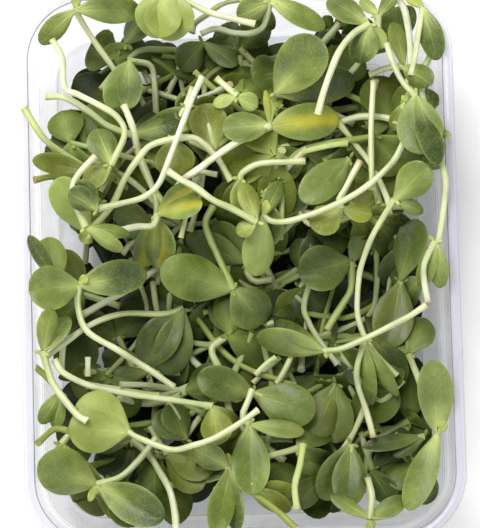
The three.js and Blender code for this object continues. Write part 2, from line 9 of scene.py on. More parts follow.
import bmesh
import bpy
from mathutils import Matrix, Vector


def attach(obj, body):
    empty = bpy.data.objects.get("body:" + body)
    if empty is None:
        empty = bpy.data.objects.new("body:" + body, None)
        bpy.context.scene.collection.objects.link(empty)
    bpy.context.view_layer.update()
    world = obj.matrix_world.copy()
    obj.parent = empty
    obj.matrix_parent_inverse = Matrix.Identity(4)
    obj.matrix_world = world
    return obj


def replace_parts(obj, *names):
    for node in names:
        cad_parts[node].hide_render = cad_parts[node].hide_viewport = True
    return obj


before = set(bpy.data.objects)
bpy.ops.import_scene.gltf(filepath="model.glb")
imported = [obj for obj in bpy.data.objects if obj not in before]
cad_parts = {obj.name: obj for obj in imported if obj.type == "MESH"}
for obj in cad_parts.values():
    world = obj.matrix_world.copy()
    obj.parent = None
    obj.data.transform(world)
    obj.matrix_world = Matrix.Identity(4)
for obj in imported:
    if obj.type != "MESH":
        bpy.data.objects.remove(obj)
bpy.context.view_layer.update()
LOG = logging.getLogger("sunflower_tray")
MM = 0.001
TURN = 2 * math.pi


def held(value: float, low: float = 0.0, high: float = 1.0) -> float:
    """Holds a value between two limits."""
    return min(max(value, low), high)


def srgb(red: float, green: float, blue: float) -> tuple[float, float, float]:
    """Turns a screen colour of 0 to 255 into a linear one.

    Args:
        red: The screen's red.
        green: The screen's green.
        blue: The screen's blue.

    Returns:
        The linear colour.
    """
    return tuple(((value / 255 + 0.055) / 1.055) ** 2.4 for value in (red, green, blue))


def blend(low: Iterable[float], high: Iterable[float], share: float) -> tuple[float, ...]:
    """Mixes two colours or points.

    Args:
        low: The value at a share of 0.
        high: The value at a share of 1.
        share: The share of high, held between 0 and 1.

    Returns:
        The mixed value.
    """
    share = held(share)
    return tuple(start + (end - start) * share for start, end in zip(low, high))


def paint(red: float, green: float, blue: float) -> tuple[float, float, float, float]:
    """Turns a screen colour of 0 to 255 into a shader's."""
    return (*srgb(red, green, blue), 1.0)


def turned(x: float, y: float, angle: float) -> tuple[float, float]:
    """Turns a place about the middle by an angle in radians."""
    cos, sin = math.cos(angle), math.sin(angle)
    return x * cos - y * sin, x * sin + y * cos


class Tone(Enum):
    """The colour of a seed leaf's face."""

    MID = srgb(92, 110, 34)
    GREY = srgb(98, 114, 48)
    DARK = srgb(60, 78, 22)
    OLIVE = srgb(108, 116, 28)
    LIME = srgb(136, 149, 66)
    PALE = srgb(138, 154, 76)
    YELLOW = srgb(142, 146, 30)
    STRIPED = srgb(88, 108, 34)


class StemTone(Enum):
    """The colour of a stem at its middle."""

    CREAM = srgb(230, 232, 194)
    WHITE = srgb(238, 239, 214)
    GREEN = srgb(194, 204, 134)
    OLIVE = srgb(156, 164, 82)


@dataclass(frozen=True)
class Leaf:
    """A seed leaf as seen from above: its tip's place and its width in mm, and its tone."""

    x: float
    y: float
    width: float
    tone: Tone = Tone.MID


@dataclass(frozen=True)
class Seen:
    """A shoot as seen: its stem's points from the cut end to the crown, and its leaves."""

    stem: tuple[tuple[float, float], ...]
    leaves: tuple[Leaf, ...]
    diameter: float = 2.5
    colour: StemTone = StemTone.CREAM
    bud: tuple[float, float] | None = None


MID, GREY, DARK, OLIVE = Tone.MID, Tone.GREY, Tone.DARK, Tone.OLIVE
LIME, PALE, YELLOW, STRIPED = Tone.LIME, Tone.PALE, Tone.YELLOW, Tone.STRIPED
WHITE, GREEN, BROWNISH = StemTone.WHITE, StemTone.GREEN, StemTone.OLIVE

# The shoots of the solids, from the lowest to the highest, by level.
SHOOTS = {
    3: (
        Seen(((-8.5, 38),), (Leaf(-12, 53.5, 13, OLIVE),)),
        Seen(((33, 79.8), (28.5, 74.5), (22, 68), (15.5, 64)), (Leaf(3.5, 63, 14),)),
        Seen(((32, -40),), (Leaf(24, -58, 13, OLIVE),)),
        Seen(((-39.3, 3.3), (-36, 7), (-31, 11), (-29.5, 13)), (Leaf(-42, 18, 9.5, GREY),)),
    ),
    4: (
        Seen(
            ((-38, 58), (-42.5, 65), (-47, 71), (-51, 77), (-54, 82)),
            (Leaf(-65.5, 71, 7), Leaf(-33, 84, 9, GREY)), bud=(-53.5, 88),
        ),
        Seen(
            ((-72, 52), (-66, 42.5), (-60, 37.5), (-53, 33), (-50, 31)),
            (Leaf(-68, 33, 7, OLIVE), Leaf(-41, 29.5, 6)), colour=GREEN,
        ),
        Seen(
            ((-28, 50), (-28.5, 60), (-30, 66.5), (-37, 68)),
            (Leaf(-43, 51, 9, GREY), Leaf(-36, 50, 9, DARK)),
        ),
        Seen(
            ((-38.8, 53), (-36, 46), (-34, 38), (-31, 30), (-28, 22), (-27.5, 15.5)),
            (Leaf(-26, -1.5, 11, STRIPED),),
        ),
        Seen(((-12.5, 73.8),), (Leaf(-20, 65, 10, GREY), Leaf(-1, 66, 7, DARK))),
        Seen(
            ((-13, 77), (-8, 78.5), (-2, 76.7), (4, 76.3), (8, 78.5), (10, 86)),
            (Leaf(-1, 81, 8, DARK), Leaf(28, 77, 8.5)), colour=WHITE,
        ),
        Seen(
            ((38, 47), (30, 51), (22, 54), (12, 57.5)),
            (Leaf(27, 75, 17, GREY), Leaf(38.5, 62, 13, DARK)),
        ),
        Seen(
            ((31, 46), (38, 48.7), (45, 49.2), (51, 48), (60, 44)), (Leaf(71, 43, 4),),
            diameter=2.9,
        ),
        Seen(
            ((10.5, -5), (5, -5.8), (2.5, -3), (2, 0.5)),
            (Leaf(-9, 13.5, 10, GREY), Leaf(-18, 9, 10, GREY)),
        ),
        Seen(((-61, -6),), (Leaf(-64, 9, 10), Leaf(-70.5, 9.5, 5.5, DARK))),
        Seen(
            ((-65, -32), (-58.5, -27), (-49.5, -20.5), (-39, -16.8), (-26, -16.8), (-19, -15)),
            (Leaf(-33, -33, 14),),
        ),
        Seen(
            ((-24, -46.3), (-21.5, -49.5), (-19.3, -54), (-18.3, -58.5)),
            (Leaf(-28, -49.5, 10.5, GREY),),
        ),
        Seen(
            ((-3.5, -67.5),), (Leaf(-8, -90, 9), Leaf(-15, -61.5, 9, GREY), Leaf(-1, -89, 7, DARK)),
            bud=(-4, -63),
        ),
        Seen(
            ((32.5, -33.5), (29.5, -29.5), (26, -24.8), (23, -19.5), (21.3, -14), (24, -4)),
            (Leaf(24, 9.5, 9, DARK),), colour=WHITE,
        ),
        Seen(((36.5, 35),), (Leaf(20.5, 21, 12),)),
        Seen(
            ((40, 34.3), (37.2, 29.2), (35, 25), (33, 21.3), (34, 18)),
            (Leaf(24, 12, 11, OLIVE), Leaf(44, 16, 7, YELLOW)),
        ),
        Seen(((53.5, -5.8),), (Leaf(49, -28, 14, OLIVE), Leaf(59, 15, 11))),
        Seen(((66, 7), (67.3, 14), (68.3, 22), (68.4, 29), (65.5, 39)), (Leaf(61, 33, 8, DARK),)),
        Seen(((61.5, -57.5),), (Leaf(41, -61, 5.5, DARK), Leaf(51, -64, 5, DARK))),
        Seen(((37, -60),), (Leaf(36, -81, 12),)),
        Seen(
            ((42.5, -71), (44, -77.5), (43.3, -85)), (Leaf(30, -77, 5), Leaf(55.3, -78, 6.5)),
            bud=(43, -90),
        ),
    ),
    5: (
        Seen(((5, 80), (-10, 84), (-24, 92)), (Leaf(-23, 74.5, 17, LIME),)),
        Seen(
            ((-62.8, 75), (-59.5, 69), (-58.5, 59), (-54, 56.5), (-41, 49), (-38.5, 43), (-43, 33)),
            (Leaf(-48, 45, 10, GREY), Leaf(-52, 26, 8, OLIVE)),
        ),
        Seen(
            ((-8.7, 36.5), (-12, 40), (-17, 42.3), (-29, 40), (-39, 29.5), (-44, 20), (-51.5, 12)),
            (Leaf(-61, 28, 12, PALE), Leaf(-53, 8, 5)),
        ),
        Seen(
            ((-22, 24), (-19, 28), (-14, 31.5), (-8, 36), (-2, 40), (10, 46)),
            (Leaf(33, 48.5, 13, STRIPED), Leaf(-6, 45, 11, GREY)), colour=WHITE, bud=(8.5, 57),
        ),
        Seen(
            ((26, 50), (27.5, 56), (30.3, 64.3), (33.4, 71.5), (38, 77), (43, 80)),
            (Leaf(29, 88, 9.5, GREY), Leaf(40, 67, 10, DARK), Leaf(48, 72, 6, PALE)), diameter=2.7,
        ),
        Seen(
            ((57, 63), (58.5, 70), (59.7, 78), (61, 85.5)),
            (Leaf(66, 68, 8, DARK), Leaf(55, 90, 4, YELLOW)),
        ),
        Seen(
            ((57, 47), (52.5, 36.5), (43, 26.5), (30, 19), (16, 14.3), (11, 14.2), (7.5, 16)),
            (Leaf(5, -4, 11, PALE), Leaf(13.5, 27.5, 6)), bud=(9, 21),
        ),
        Seen(
            ((-9, 19.3), (-11.5, 14), (-10, 8.5), (-7.5, 3), (-2.3, -8.5)),
            (Leaf(-26.5, -1.5, 16), Leaf(8, -20, 15)), diameter=2.8, colour=GREEN,
        ),
        Seen(
            ((-46.5, 8.3), (-40, 10), (-34, 12), (-29, 12.7), (-27.5, 16.5)),
            (Leaf(-12.5, 20.5, 8.5, STRIPED),), colour=WHITE,
        ),
        Seen(
            ((-48.2, 35.8), (-53, 31), (-55.5, 26.5), (-55.3, 21), (-51.5, 12.5)),
            (Leaf(-39, 4.5, 5),),
        ),
        Seen(
            ((-22, -41), (-29, -36), (-41, -28.5), (-51, -22.3), (-54, -14), (-53.5, -7)),
            (Leaf(-70.5, -9, 15, GREY), Leaf(-31, -3, 12, DARK)), bud=(-51, -4),
        ),
        Seen(((4.5, -43),), (Leaf(25, -50, 15), Leaf(-14.3, -37.5, 12))),
        Seen(
            ((-21, -91), (-21.3, -88), (-21.7, -83), (-23.4, -75.5), (-30.5, -63.5), (-36, -58.5)),
            (Leaf(-49, -61.5, 6),), colour=WHITE,
        ),
        Seen(
            ((-61.8, -31.8), (-58.6, -36.5), (-49, -41), (-34, -43.8), (-20, -45.7), (-9, -47.5)),
            (Leaf(-7, -60, 11, OLIVE),),
        ),
        Seen(
            ((-28, -58), (-33.5, -65), (-40, -71), (-48, -73.5)),
            (Leaf(-66.5, -66, 16, GREY), Leaf(-25.5, -85, 13, DARK)), bud=(-50, -79),
        ),
        Seen(
            ((4, -42), (2.5, -46), (0.8, -50.5), (3, -53.5)),
            (Leaf(4, -77, 13), Leaf(21.5, -56, 6, LIME)),
        ),
        Seen(
            ((29, -22), (31, -18.5), (34.5, -13), (37, -8), (37, 0.8)),
            (Leaf(19.7, -3.5, 16), Leaf(42, 10, 8, PALE)), diameter=2.8, colour=GREEN,
        ),
        Seen(
            ((51.8, -37.5), (43.7, -28.7), (39.2, -18), (39.5, -5), (44, 9), (51.5, 21.5)),
            (Leaf(63, 33, 12), Leaf(61, 17, 5, DARK)),
        ),
        Seen(
            ((62.6, -12.6), (61.5, -6), (61.5, 0), (65, 7.5)), (Leaf(67, -8, 6.5, GREY),),
            colour=WHITE,
        ),
        Seen(
            ((44.5, -57.8), (43, -52), (41.2, -46), (39.4, -40.5), (39, -34.5), (41.5, -26)),
            (Leaf(44, -47, 5),),
        ),
        Seen(((66, -56.5),), (Leaf(64, -32, 12, GREY), Leaf(56, -82, 9.5, GREY)), bud=(68, -52)),
    ),
    6: (
        Seen(
            ((-12.6, 62.3), (-16, 55), (-19.5, 46), (-27, 27), (-32, 22.5), (-47.5, 18.5)),
            (Leaf(-57, 24, 8, DARK),), colour=WHITE,
        ),
        Seen(
            ((48.7, 73.7), (51, 67), (54, 61), (58.5, 56)),
            (Leaf(61, 36.5, 15.5, GREY), Leaf(66, 33, 9, DARK)),
        ),
        Seen(
            ((-24.2, 31), (-19.5, 28), (-14.5, 25.3), (-9, 21.3), (-3, 18.6), (5.5, 14)),
            (Leaf(-1, 10, 6, OLIVE), Leaf(1, 27, 7, OLIVE)),
        ),
        Seen(
            ((62, -13.7), (56.5, -17.3), (50, -20.7), (43, -24.2), (34.3, -28), (28, -29)),
            (Leaf(5.5, -24, 9), Leaf(12, -19, 6, DARK)),
        ),
        Seen(
            ((6, -48.6), (-0.5, -53.3), (-8.6, -58), (-23, -61.8), (-33.5, -58), (-37, -56)),
            (Leaf(-54.5, -46.5, 17, LIME),),
        ),
        Seen(
            ((-51, -52.3), (-54.5, -50), (-61.5, -41.2), (-63.8, -36), (-66, -29)),
            (Leaf(-57, -17.5, 7),),
        ),
    ),
}

# The deeper shoots that the solids leave out, by the level that they lie on.
UNDERGROWTH = {
    2: (
        Seen(((-28, 20), (-36, 27), (-46, 33.5)), (Leaf(-61, 46, 18, DARK),)),
        Seen(((-30, 60), (-34, 68), (-38, 73)), (Leaf(-30, 81, 10, DARK), Leaf(-46, 67, 6, GREY))),
        Seen(
            ((45.3, 61.7), (44.5, 55), (44, 47), (43.5, 39), (43.7, 32), (46.5, 20)),
            (Leaf(52, 8, 8, DARK), Leaf(42, 10, 7)),
        ),
        Seen(((30, 40), (40, 50)), (Leaf(42.5, 64, 10, GREY), Leaf(49, 61, 8, OLIVE))),
        Seen(((21.5, 33.7), (14, 33.3), (6, 33), (1, 30.5), (0, 28.5)), (Leaf(1, 16.5, 8, OLIVE),)),
        Seen(
            ((-34.5, -77.5), (-33, -68), (-36, -60)), (Leaf(-48, -69, 11, DARK),), colour=BROWNISH,
        ),
        Seen(
            ((-18, -56.7), (-12.8, -50.3), (-7.4, -44.1)), (Leaf(-2, -36, 12, DARK),),
            colour=BROWNISH,
        ),
        Seen(((40, -56), (44, -68.5)), (Leaf(50.5, -79.5, 9, DARK), Leaf(54, -63, 12, DARK))),
        Seen(((18.5, -88), (12.5, -82.3), (3, -75)), (Leaf(17, -82, 7, OLIVE),), colour=BROWNISH),
        Seen(((-30, -54), (-24.5, -63.5)), (Leaf(-12.5, -75, 12, OLIVE),)),
        Seen(((28, 2), (20, -8)), (Leaf(13, -17, 8, YELLOW), Leaf(30, -14, 12, DARK))),
        Seen(((60, -40), (56, -30)), (Leaf(52, -14, 13, DARK), Leaf(62, -18, 11))),
        Seen(((10, 62), (0, 72)), (Leaf(-14, 86, 14, DARK), Leaf(12, 84, 13, DARK))),
        Seen(((-50, -50), (-58, -60)), (Leaf(-62, -78, 12, DARK), Leaf(-46, -84, 12, OLIVE))),
        Seen(((8, 0), (12, -8)), (Leaf(20, -28, 14, DARK), Leaf(-4, -22, 13, OLIVE))),
        Seen(((60, 60), (62, 50)), (Leaf(58, 30, 13, DARK), Leaf(64, 68, 11, DARK))),
        Seen(((34, 60), (42, 70)), (Leaf(58, 84, 12, DARK), Leaf(34, 86, 12))),
    ),
    3: (
        Seen(
            ((-64.5, 55.8), (-58, 55.3), (-50, 50.5), (-44, 46), (-36, 43)),
            (Leaf(-22, 50, 10, DARK),),
        ),
        Seen(((-16, 76.5), (-15, 81), (-11, 85), (2, 88.5)), (Leaf(16, 84, 9, DARK),)),
        Seen(((-15.8, 59), (-18, 53), (-21, 47), (-22, 41)), (Leaf(-19, 29.5, 11, OLIVE),)),
        Seen(
            ((43, 63), (49, 65.3), (54.5, 66)), (Leaf(51, 80.5, 6.5, GREY), Leaf(64, 60, 8, DARK)),
        ),
        Seen(((30, 70), (31, 78.5)), (Leaf(23, 87, 6, DARK), Leaf(44, 86, 7, DARK))),
        Seen(
            ((11.5, 38.6), (17, 40), (24, 41.7), (31, 43.5), (38, 45.3), (52, 46)),
            (Leaf(62, 58, 9),),
        ),
        Seen(((30, 44), (26, 33)), (Leaf(12, 16.5, 12, GREY), Leaf(38, 24, 11, DARK))),
        Seen(((14, 38), (11.5, 32), (9.5, 27), (8, 22)), (Leaf(16, 6, 11, DARK),), colour=GREEN),
        Seen(((-36.3, -3.7), (-33.5, 1), (-31, 6)), (Leaf(-24, 20, 11, DARK),), colour=WHITE),
        Seen(
            ((-69.5, 28.3), (-62, 28.5), (-55, 27.5), (-46, 19)), (Leaf(-52, 8, 12, DARK),),
            colour=BROWNISH,
        ),
        Seen(((-4, 0), (-5.5, -11.5)), (Leaf(-17, -24.5, 10), Leaf(-12, -6, 9, OLIVE))),
        Seen(
            ((-13, -34.7), (-16, -31.7), (-19.3, -27.7), (-20.4, -23.9)), (Leaf(-21, -42, 8),),
            colour=WHITE,
        ),
        Seen(
            ((-40, -40.3), (-32, -40.5), (-24, -41.5), (-18, -42.5)), (Leaf(-4, -40, 10, DARK),),
            colour=WHITE,
        ),
        Seen(((-20, -36), (-30, -36)), (Leaf(-49.5, -39, 7, DARK), Leaf(-46, -30, 9, OLIVE))),
        Seen(
            ((-69, -35), (-64.5, -37.7), (-60, -43)), (Leaf(-61.5, -55, 6, GREY),), colour=BROWNISH,
        ),
        Seen(
            ((-67.3, -59.7), (-61.6, -55), (-56, -56)), (Leaf(-48, -50, 9, DARK),), colour=BROWNISH,
        ),
        Seen(((38, -36), (31, -27)), (Leaf(26, -16, 9, OLIVE), Leaf(44, -40, 11, DARK))),
        Seen(((40, -64), (28, -70)), (Leaf(18, -81, 9, DARK), Leaf(20, -64, 11, GREY))),
        Seen(((-20, 66), (-24.6, 56)), (Leaf(-34, 44, 9, DARK),), colour=WHITE),
        Seen(((50, 20), (56, 6)), (Leaf(66, -6, 12, DARK), Leaf(48, -8, 11, DARK))),
        Seen(((-40, -14), (-52, -10)), (Leaf(-64, -24, 12, DARK), Leaf(-60, 4, 11, OLIVE))),
        Seen(((52, -56), (58, -66)), (Leaf(62, -80, 11, DARK), Leaf(50, -74, 10))),
    ),
    4: (
        Seen(
            ((-3, 60), (-8, 57.5), (-14, 55), (-20, 54.7), (-33, 58.7), (-38, 60)), (),
            colour=WHITE,
        ),
        Seen(((-8, 62), (-1, 56)), (Leaf(6, 52.5, 6, PALE), Leaf(-9, 53, 5, PALE))),
        Seen(
            ((63.8, 70), (60.5, 64), (57.5, 58.5), (54, 52)), (Leaf(51, 44, 6, OLIVE),),
            colour=GREEN,
        ),
        Seen(
            ((53.5, 89.5), (55, 84), (56.5, 75), (57, 66), (56, 60)), (), diameter=3, colour=WHITE,
        ),
        Seen(((46, 76), (46, 83)), (Leaf(52, 90, 5), Leaf(40, 88, 5, PALE))),
        Seen(((-52.3, -17), (-45, -13), (-38, -9), (-26, 0)), (), colour=WHITE),
        Seen(((11.3, -19.7), (4.5, -21.3), (-2, -23.2), (-7, -25.8), (-9.5, -28.7), (-7, -35)), ()),
        Seen(((-40, -44.5), (-34, -46.4), (-27, -46.2), (-21, -44.2), (-14.7, -40.7)), ()),
        Seen(((17.7, -28.3), (16.5, -32), (14.3, -36.5), (12.3, -40)), ()),
        Seen(((27, -75.7), (31, -67), (36, -59.5), (40.5, -50.5), (42, -46)), ()),
        Seen(((19, -81.7), (18.3, -74), (20, -67), (21, -60)), (), colour=GREEN),
        Seen(((60, -2), (60, -5)), (Leaf(50, -17, 9, DARK),)),
        Seen(((5, -37), (9, -33), (12, -31)), (), diameter=2.0),
        Seen(((22.7, 39.7), (17.3, 33.7), (12.7, 27.3)), (), diameter=2.2),
        Seen(((-51, -40.3), (-39.3, -42.3), (-26.7, -44.3)), (), diameter=2.6),
        Seen(((-24.3, -46.3), (-20.7, -52), (-18.7, -57)), (), diameter=2.2),
        Seen(((-17.7, -57.3), (-13.3, -51)), (), diameter=2.2, colour=WHITE),
        Seen(((-58.3, -27.7), (-59, -35.3)), (), diameter=2.2, colour=WHITE),
        Seen(((-50.7, -31), (-50.7, -37.5)), (), diameter=2.2, colour=WHITE),
        Seen(((4.3, -39.7), (13.3, -31)), (), diameter=2.0),
    ),
    5: (
        Seen(((-11.7, 32), (-13.7, 21.3), (-16.7, 10.7)), (), diameter=2.2, colour=WHITE),
        Seen(((-17.7, 41.3), (-9, 37), (-3, 27.7)), ()),
        Seen(((44.3, 60.7), (43.7, 44.7), (44, 24.7)), (), diameter=2.4),
        Seen(((-15, 28.7), (-17.4, 18.7), (-19.7, 8.7)), (), diameter=2.0),
        Seen(((49.8, 16.3), (49, 22), (44, 32.5), (40, 38), (32.5, 47.5)), (), diameter=2.3),
        Seen(((-34.7, 39.3), (-32, 30.7), (-25.3, 20)), (), diameter=2.2, colour=GREEN),
        Seen(((20.7, 37.3), (29, 39.3), (35.7, 40.3)), (), diameter=2.2, colour=GREEN),
    ),
}


@dataclass(frozen=True)
class TrayForm:
    """The tray's sizes in mm."""

    length: float = 189.0
    width: float = 147.0
    height: float = 45.0
    corner_radius: float = 24.5
    sheet: float = 0.8
    flange_width: float = 3.8
    lip_drop: float = 4.0
    ledge_height: float = 30.0
    ledge_width: float = 1.7
    wall_draft: float = 3.4
    foot_radius: float = 1.2
    foot_width: float = 10.0
    panel_rise: float = 1.5
    skin_gap: float = 0.1

    @property
    def ledge_inset(self) -> float:
        """How far the inner wall lies inside the flange's edge, just over the ledge."""
        return self.flange_width + self.wall_draft / 3

    @property
    def floor_inset(self) -> float:
        """How far the inner wall's foot lies inside the flange's edge."""
        return self.flange_width + self.wall_draft + self.ledge_width

    @property
    def foot_inset(self) -> float:
        """How far the flat floor's edge lies inside the flange's edge."""
        return self.floor_inset + self.foot_radius

    @property
    def panel_inset(self) -> float:
        """How far the raised middle of the floor lies inside the flange's edge."""
        return self.foot_inset + self.foot_width

    def inner_wall(self) -> list[tuple[float, float]]:
        """Gives the inset and the height of each bend of the inner face, from the rim down."""
        return [
            (0.0, self.height),
            (self.flange_width, self.height),
            (self.ledge_inset, self.ledge_height + self.ledge_width),
            (self.ledge_inset + self.ledge_width, self.ledge_height),
            (self.floor_inset, self.sheet + self.foot_radius),
            (self.foot_inset, self.sheet),
            (self.panel_inset, self.sheet),
            (self.panel_inset + self.panel_rise, self.sheet + self.panel_rise),
        ]

    def inset_at(self, x: float, y: float) -> float:
        """Measures how far a place lies inside the flange's outer edge.

        Args:
            x: The place across the tray in mm.
            y: The place along the tray in mm.

        Returns:
            The inset in mm.
        """
        corner_x = abs(x) - self.width / 2 + self.corner_radius
        corner_y = abs(y) - self.length / 2 + self.corner_radius
        beyond = math.hypot(max(corner_x, 0), max(corner_y, 0))
        return self.corner_radius - beyond - min(max(corner_x, corner_y), 0)

    def height_at(self, x: float, y: float) -> float:
        """Gives the height of the inner face under a place.

        Args:
            x: The place across the tray in mm.
            y: The place along the tray in mm.

        Returns:
            The height in mm.
        """
        inset = self.inset_at(x, y)
        wall = self.inner_wall()
        if inset < 0:
            return self.height
        for (outer, high), (inner, low) in zip(wall, wall[1:]):
            if inner > inset:
                return high + (low - high) * (inset - outer) / (inner - outer)
        return self.sheet + self.panel_rise

    def press_in(self, spot: Vector) -> Vector:
        """Moves a place that lies in the wall in to the wall's inner face.

        Args:
            spot: The place in mm.

        Returns:
            The place, which is the same where it doesn't lie in the wall.
        """
        x, y, near = spot.x, spot.y, self.skin_gap
        inset = self.inset_at(x, y)
        wall = self.inner_wall()
        for (outer, high), (inner, low) in zip(wall[1:5], wall[2:6]):
            if low < spot.z < min(high, self.height - self.sheet):
                face = outer + (inner - outer) * (high - spot.z) / (high - low)
                short = face + self.skin_gap - inset
                if 0 < short < self.flange_width:
                    way_x = self.inset_at(x + near, y) - self.inset_at(x - near, y)
                    way_y = self.inset_at(x, y + near) - self.inset_at(x, y - near)
                    return spot + Vector((way_x, way_y, 0.0)).normalized() * short
        return spot


class Draws:
    """A seeded stream of numbers between 0 and 1, the same on every machine."""

    STEP = 0x6D2B79F5
    WORD = 0xFFFFFFFF

    def __init__(self, seed: int) -> None:
        """Starts the stream.

        Args:
            seed: The stream's seed.
        """
        self.state = seed
        self.share()

    def share(self) -> float:
        """Draws a number between 0 and 1."""
        self.state += self.STEP
        word = self.state & self.WORD
        word = ((word ^ (word >> 15)) * (word | 1)) & self.WORD
        word ^= (word + ((word ^ (word >> 7)) * (word | 61))) & self.WORD
        return ((word ^ (word >> 14)) & self.WORD) / (self.WORD + 1)

    def between(self, low: float, high: float) -> float:
        """Draws a number between low and high."""
        return low + (high - low) * self.share()


class HeapMap:
    """A map of heights in mm over the tray, in square cells."""

    CELL = 1.0
    MARGIN_CELLS = 8

    def __init__(self, form: TrayForm, start: Callable[[float, float], float]) -> None:
        """Fills the map.

        Args:
            form: The tray's sizes.
            start: Gives the first height of a place.
        """
        self.columns = math.ceil(form.width / self.CELL) + self.MARGIN_CELLS
        self.rows = math.ceil(form.length / self.CELL) + self.MARGIN_CELLS
        self.heights = []
        for row in range(self.rows):
            for column in range(self.columns):
                x = (column + 0.5 - self.columns / 2) * self.CELL
                y = (row + 0.5 - self.rows / 2) * self.CELL
                x += math.copysign(self.CELL, x) if x else 0.0
                y += math.copysign(self.CELL, y) if y else 0.0
                self.heights.append(start(x, y))

    def cell(self, x: float, y: float) -> int:
        """Finds the cell of a place."""
        column = held(math.floor(x / self.CELL + self.columns / 2), 1, self.columns - 2)
        row = held(math.floor(y / self.CELL + self.rows / 2), 1, self.rows - 2)
        return row * self.columns + column

    def height(self, x: float, y: float) -> float:
        """Reads the height of a place."""
        return self.heights[self.cell(x, y)]

    def fill(self, z: float) -> None:
        """Fills every low place up to a height."""
        self.heights = [max(height, z) for height in self.heights]

    def mark(self, x: float, y: float, z: float, side: int) -> None:
        """Marks a height on the cell of a place and on the eight round it.

        Args:
            x: The place across the tray.
            y: The place along the tray.
            z: The height.
            side: 1 raises the cells to it, and -1 lowers them.
        """
        pick = max if side > 0 else min
        middle = self.cell(x, y)
        for line in (middle - self.columns, middle, middle + self.columns):
            for cell in (line - 1, line, line + 1):
                self.heights[cell] = pick(self.heights[cell], z)


def through(points: list[Vector], share: float) -> Vector:
    """Finds a place on the smooth curve through some points.

    Args:
        points: The points, two at least.
        share: How far along, from 0 to 1.

    Returns:
        The place.
    """
    along = (len(points) - 1) * share
    index = min(math.floor(along), len(points) - 2)
    t = along - index
    start, end = points[index], points[index + 1]
    before = points[index - 1] if index > 0 else start * 2 - end
    after = points[index + 2] if index + 2 < len(points) else end * 2 - start
    leave = (end - before) * 0.5
    arrive = (after - start) * 0.5
    square = (end - start) * 3 - leave * 2 - arrive
    cube = (start - end) * 2 + leave + arrive
    return start + leave * t + square * t**2 + cube * t**3


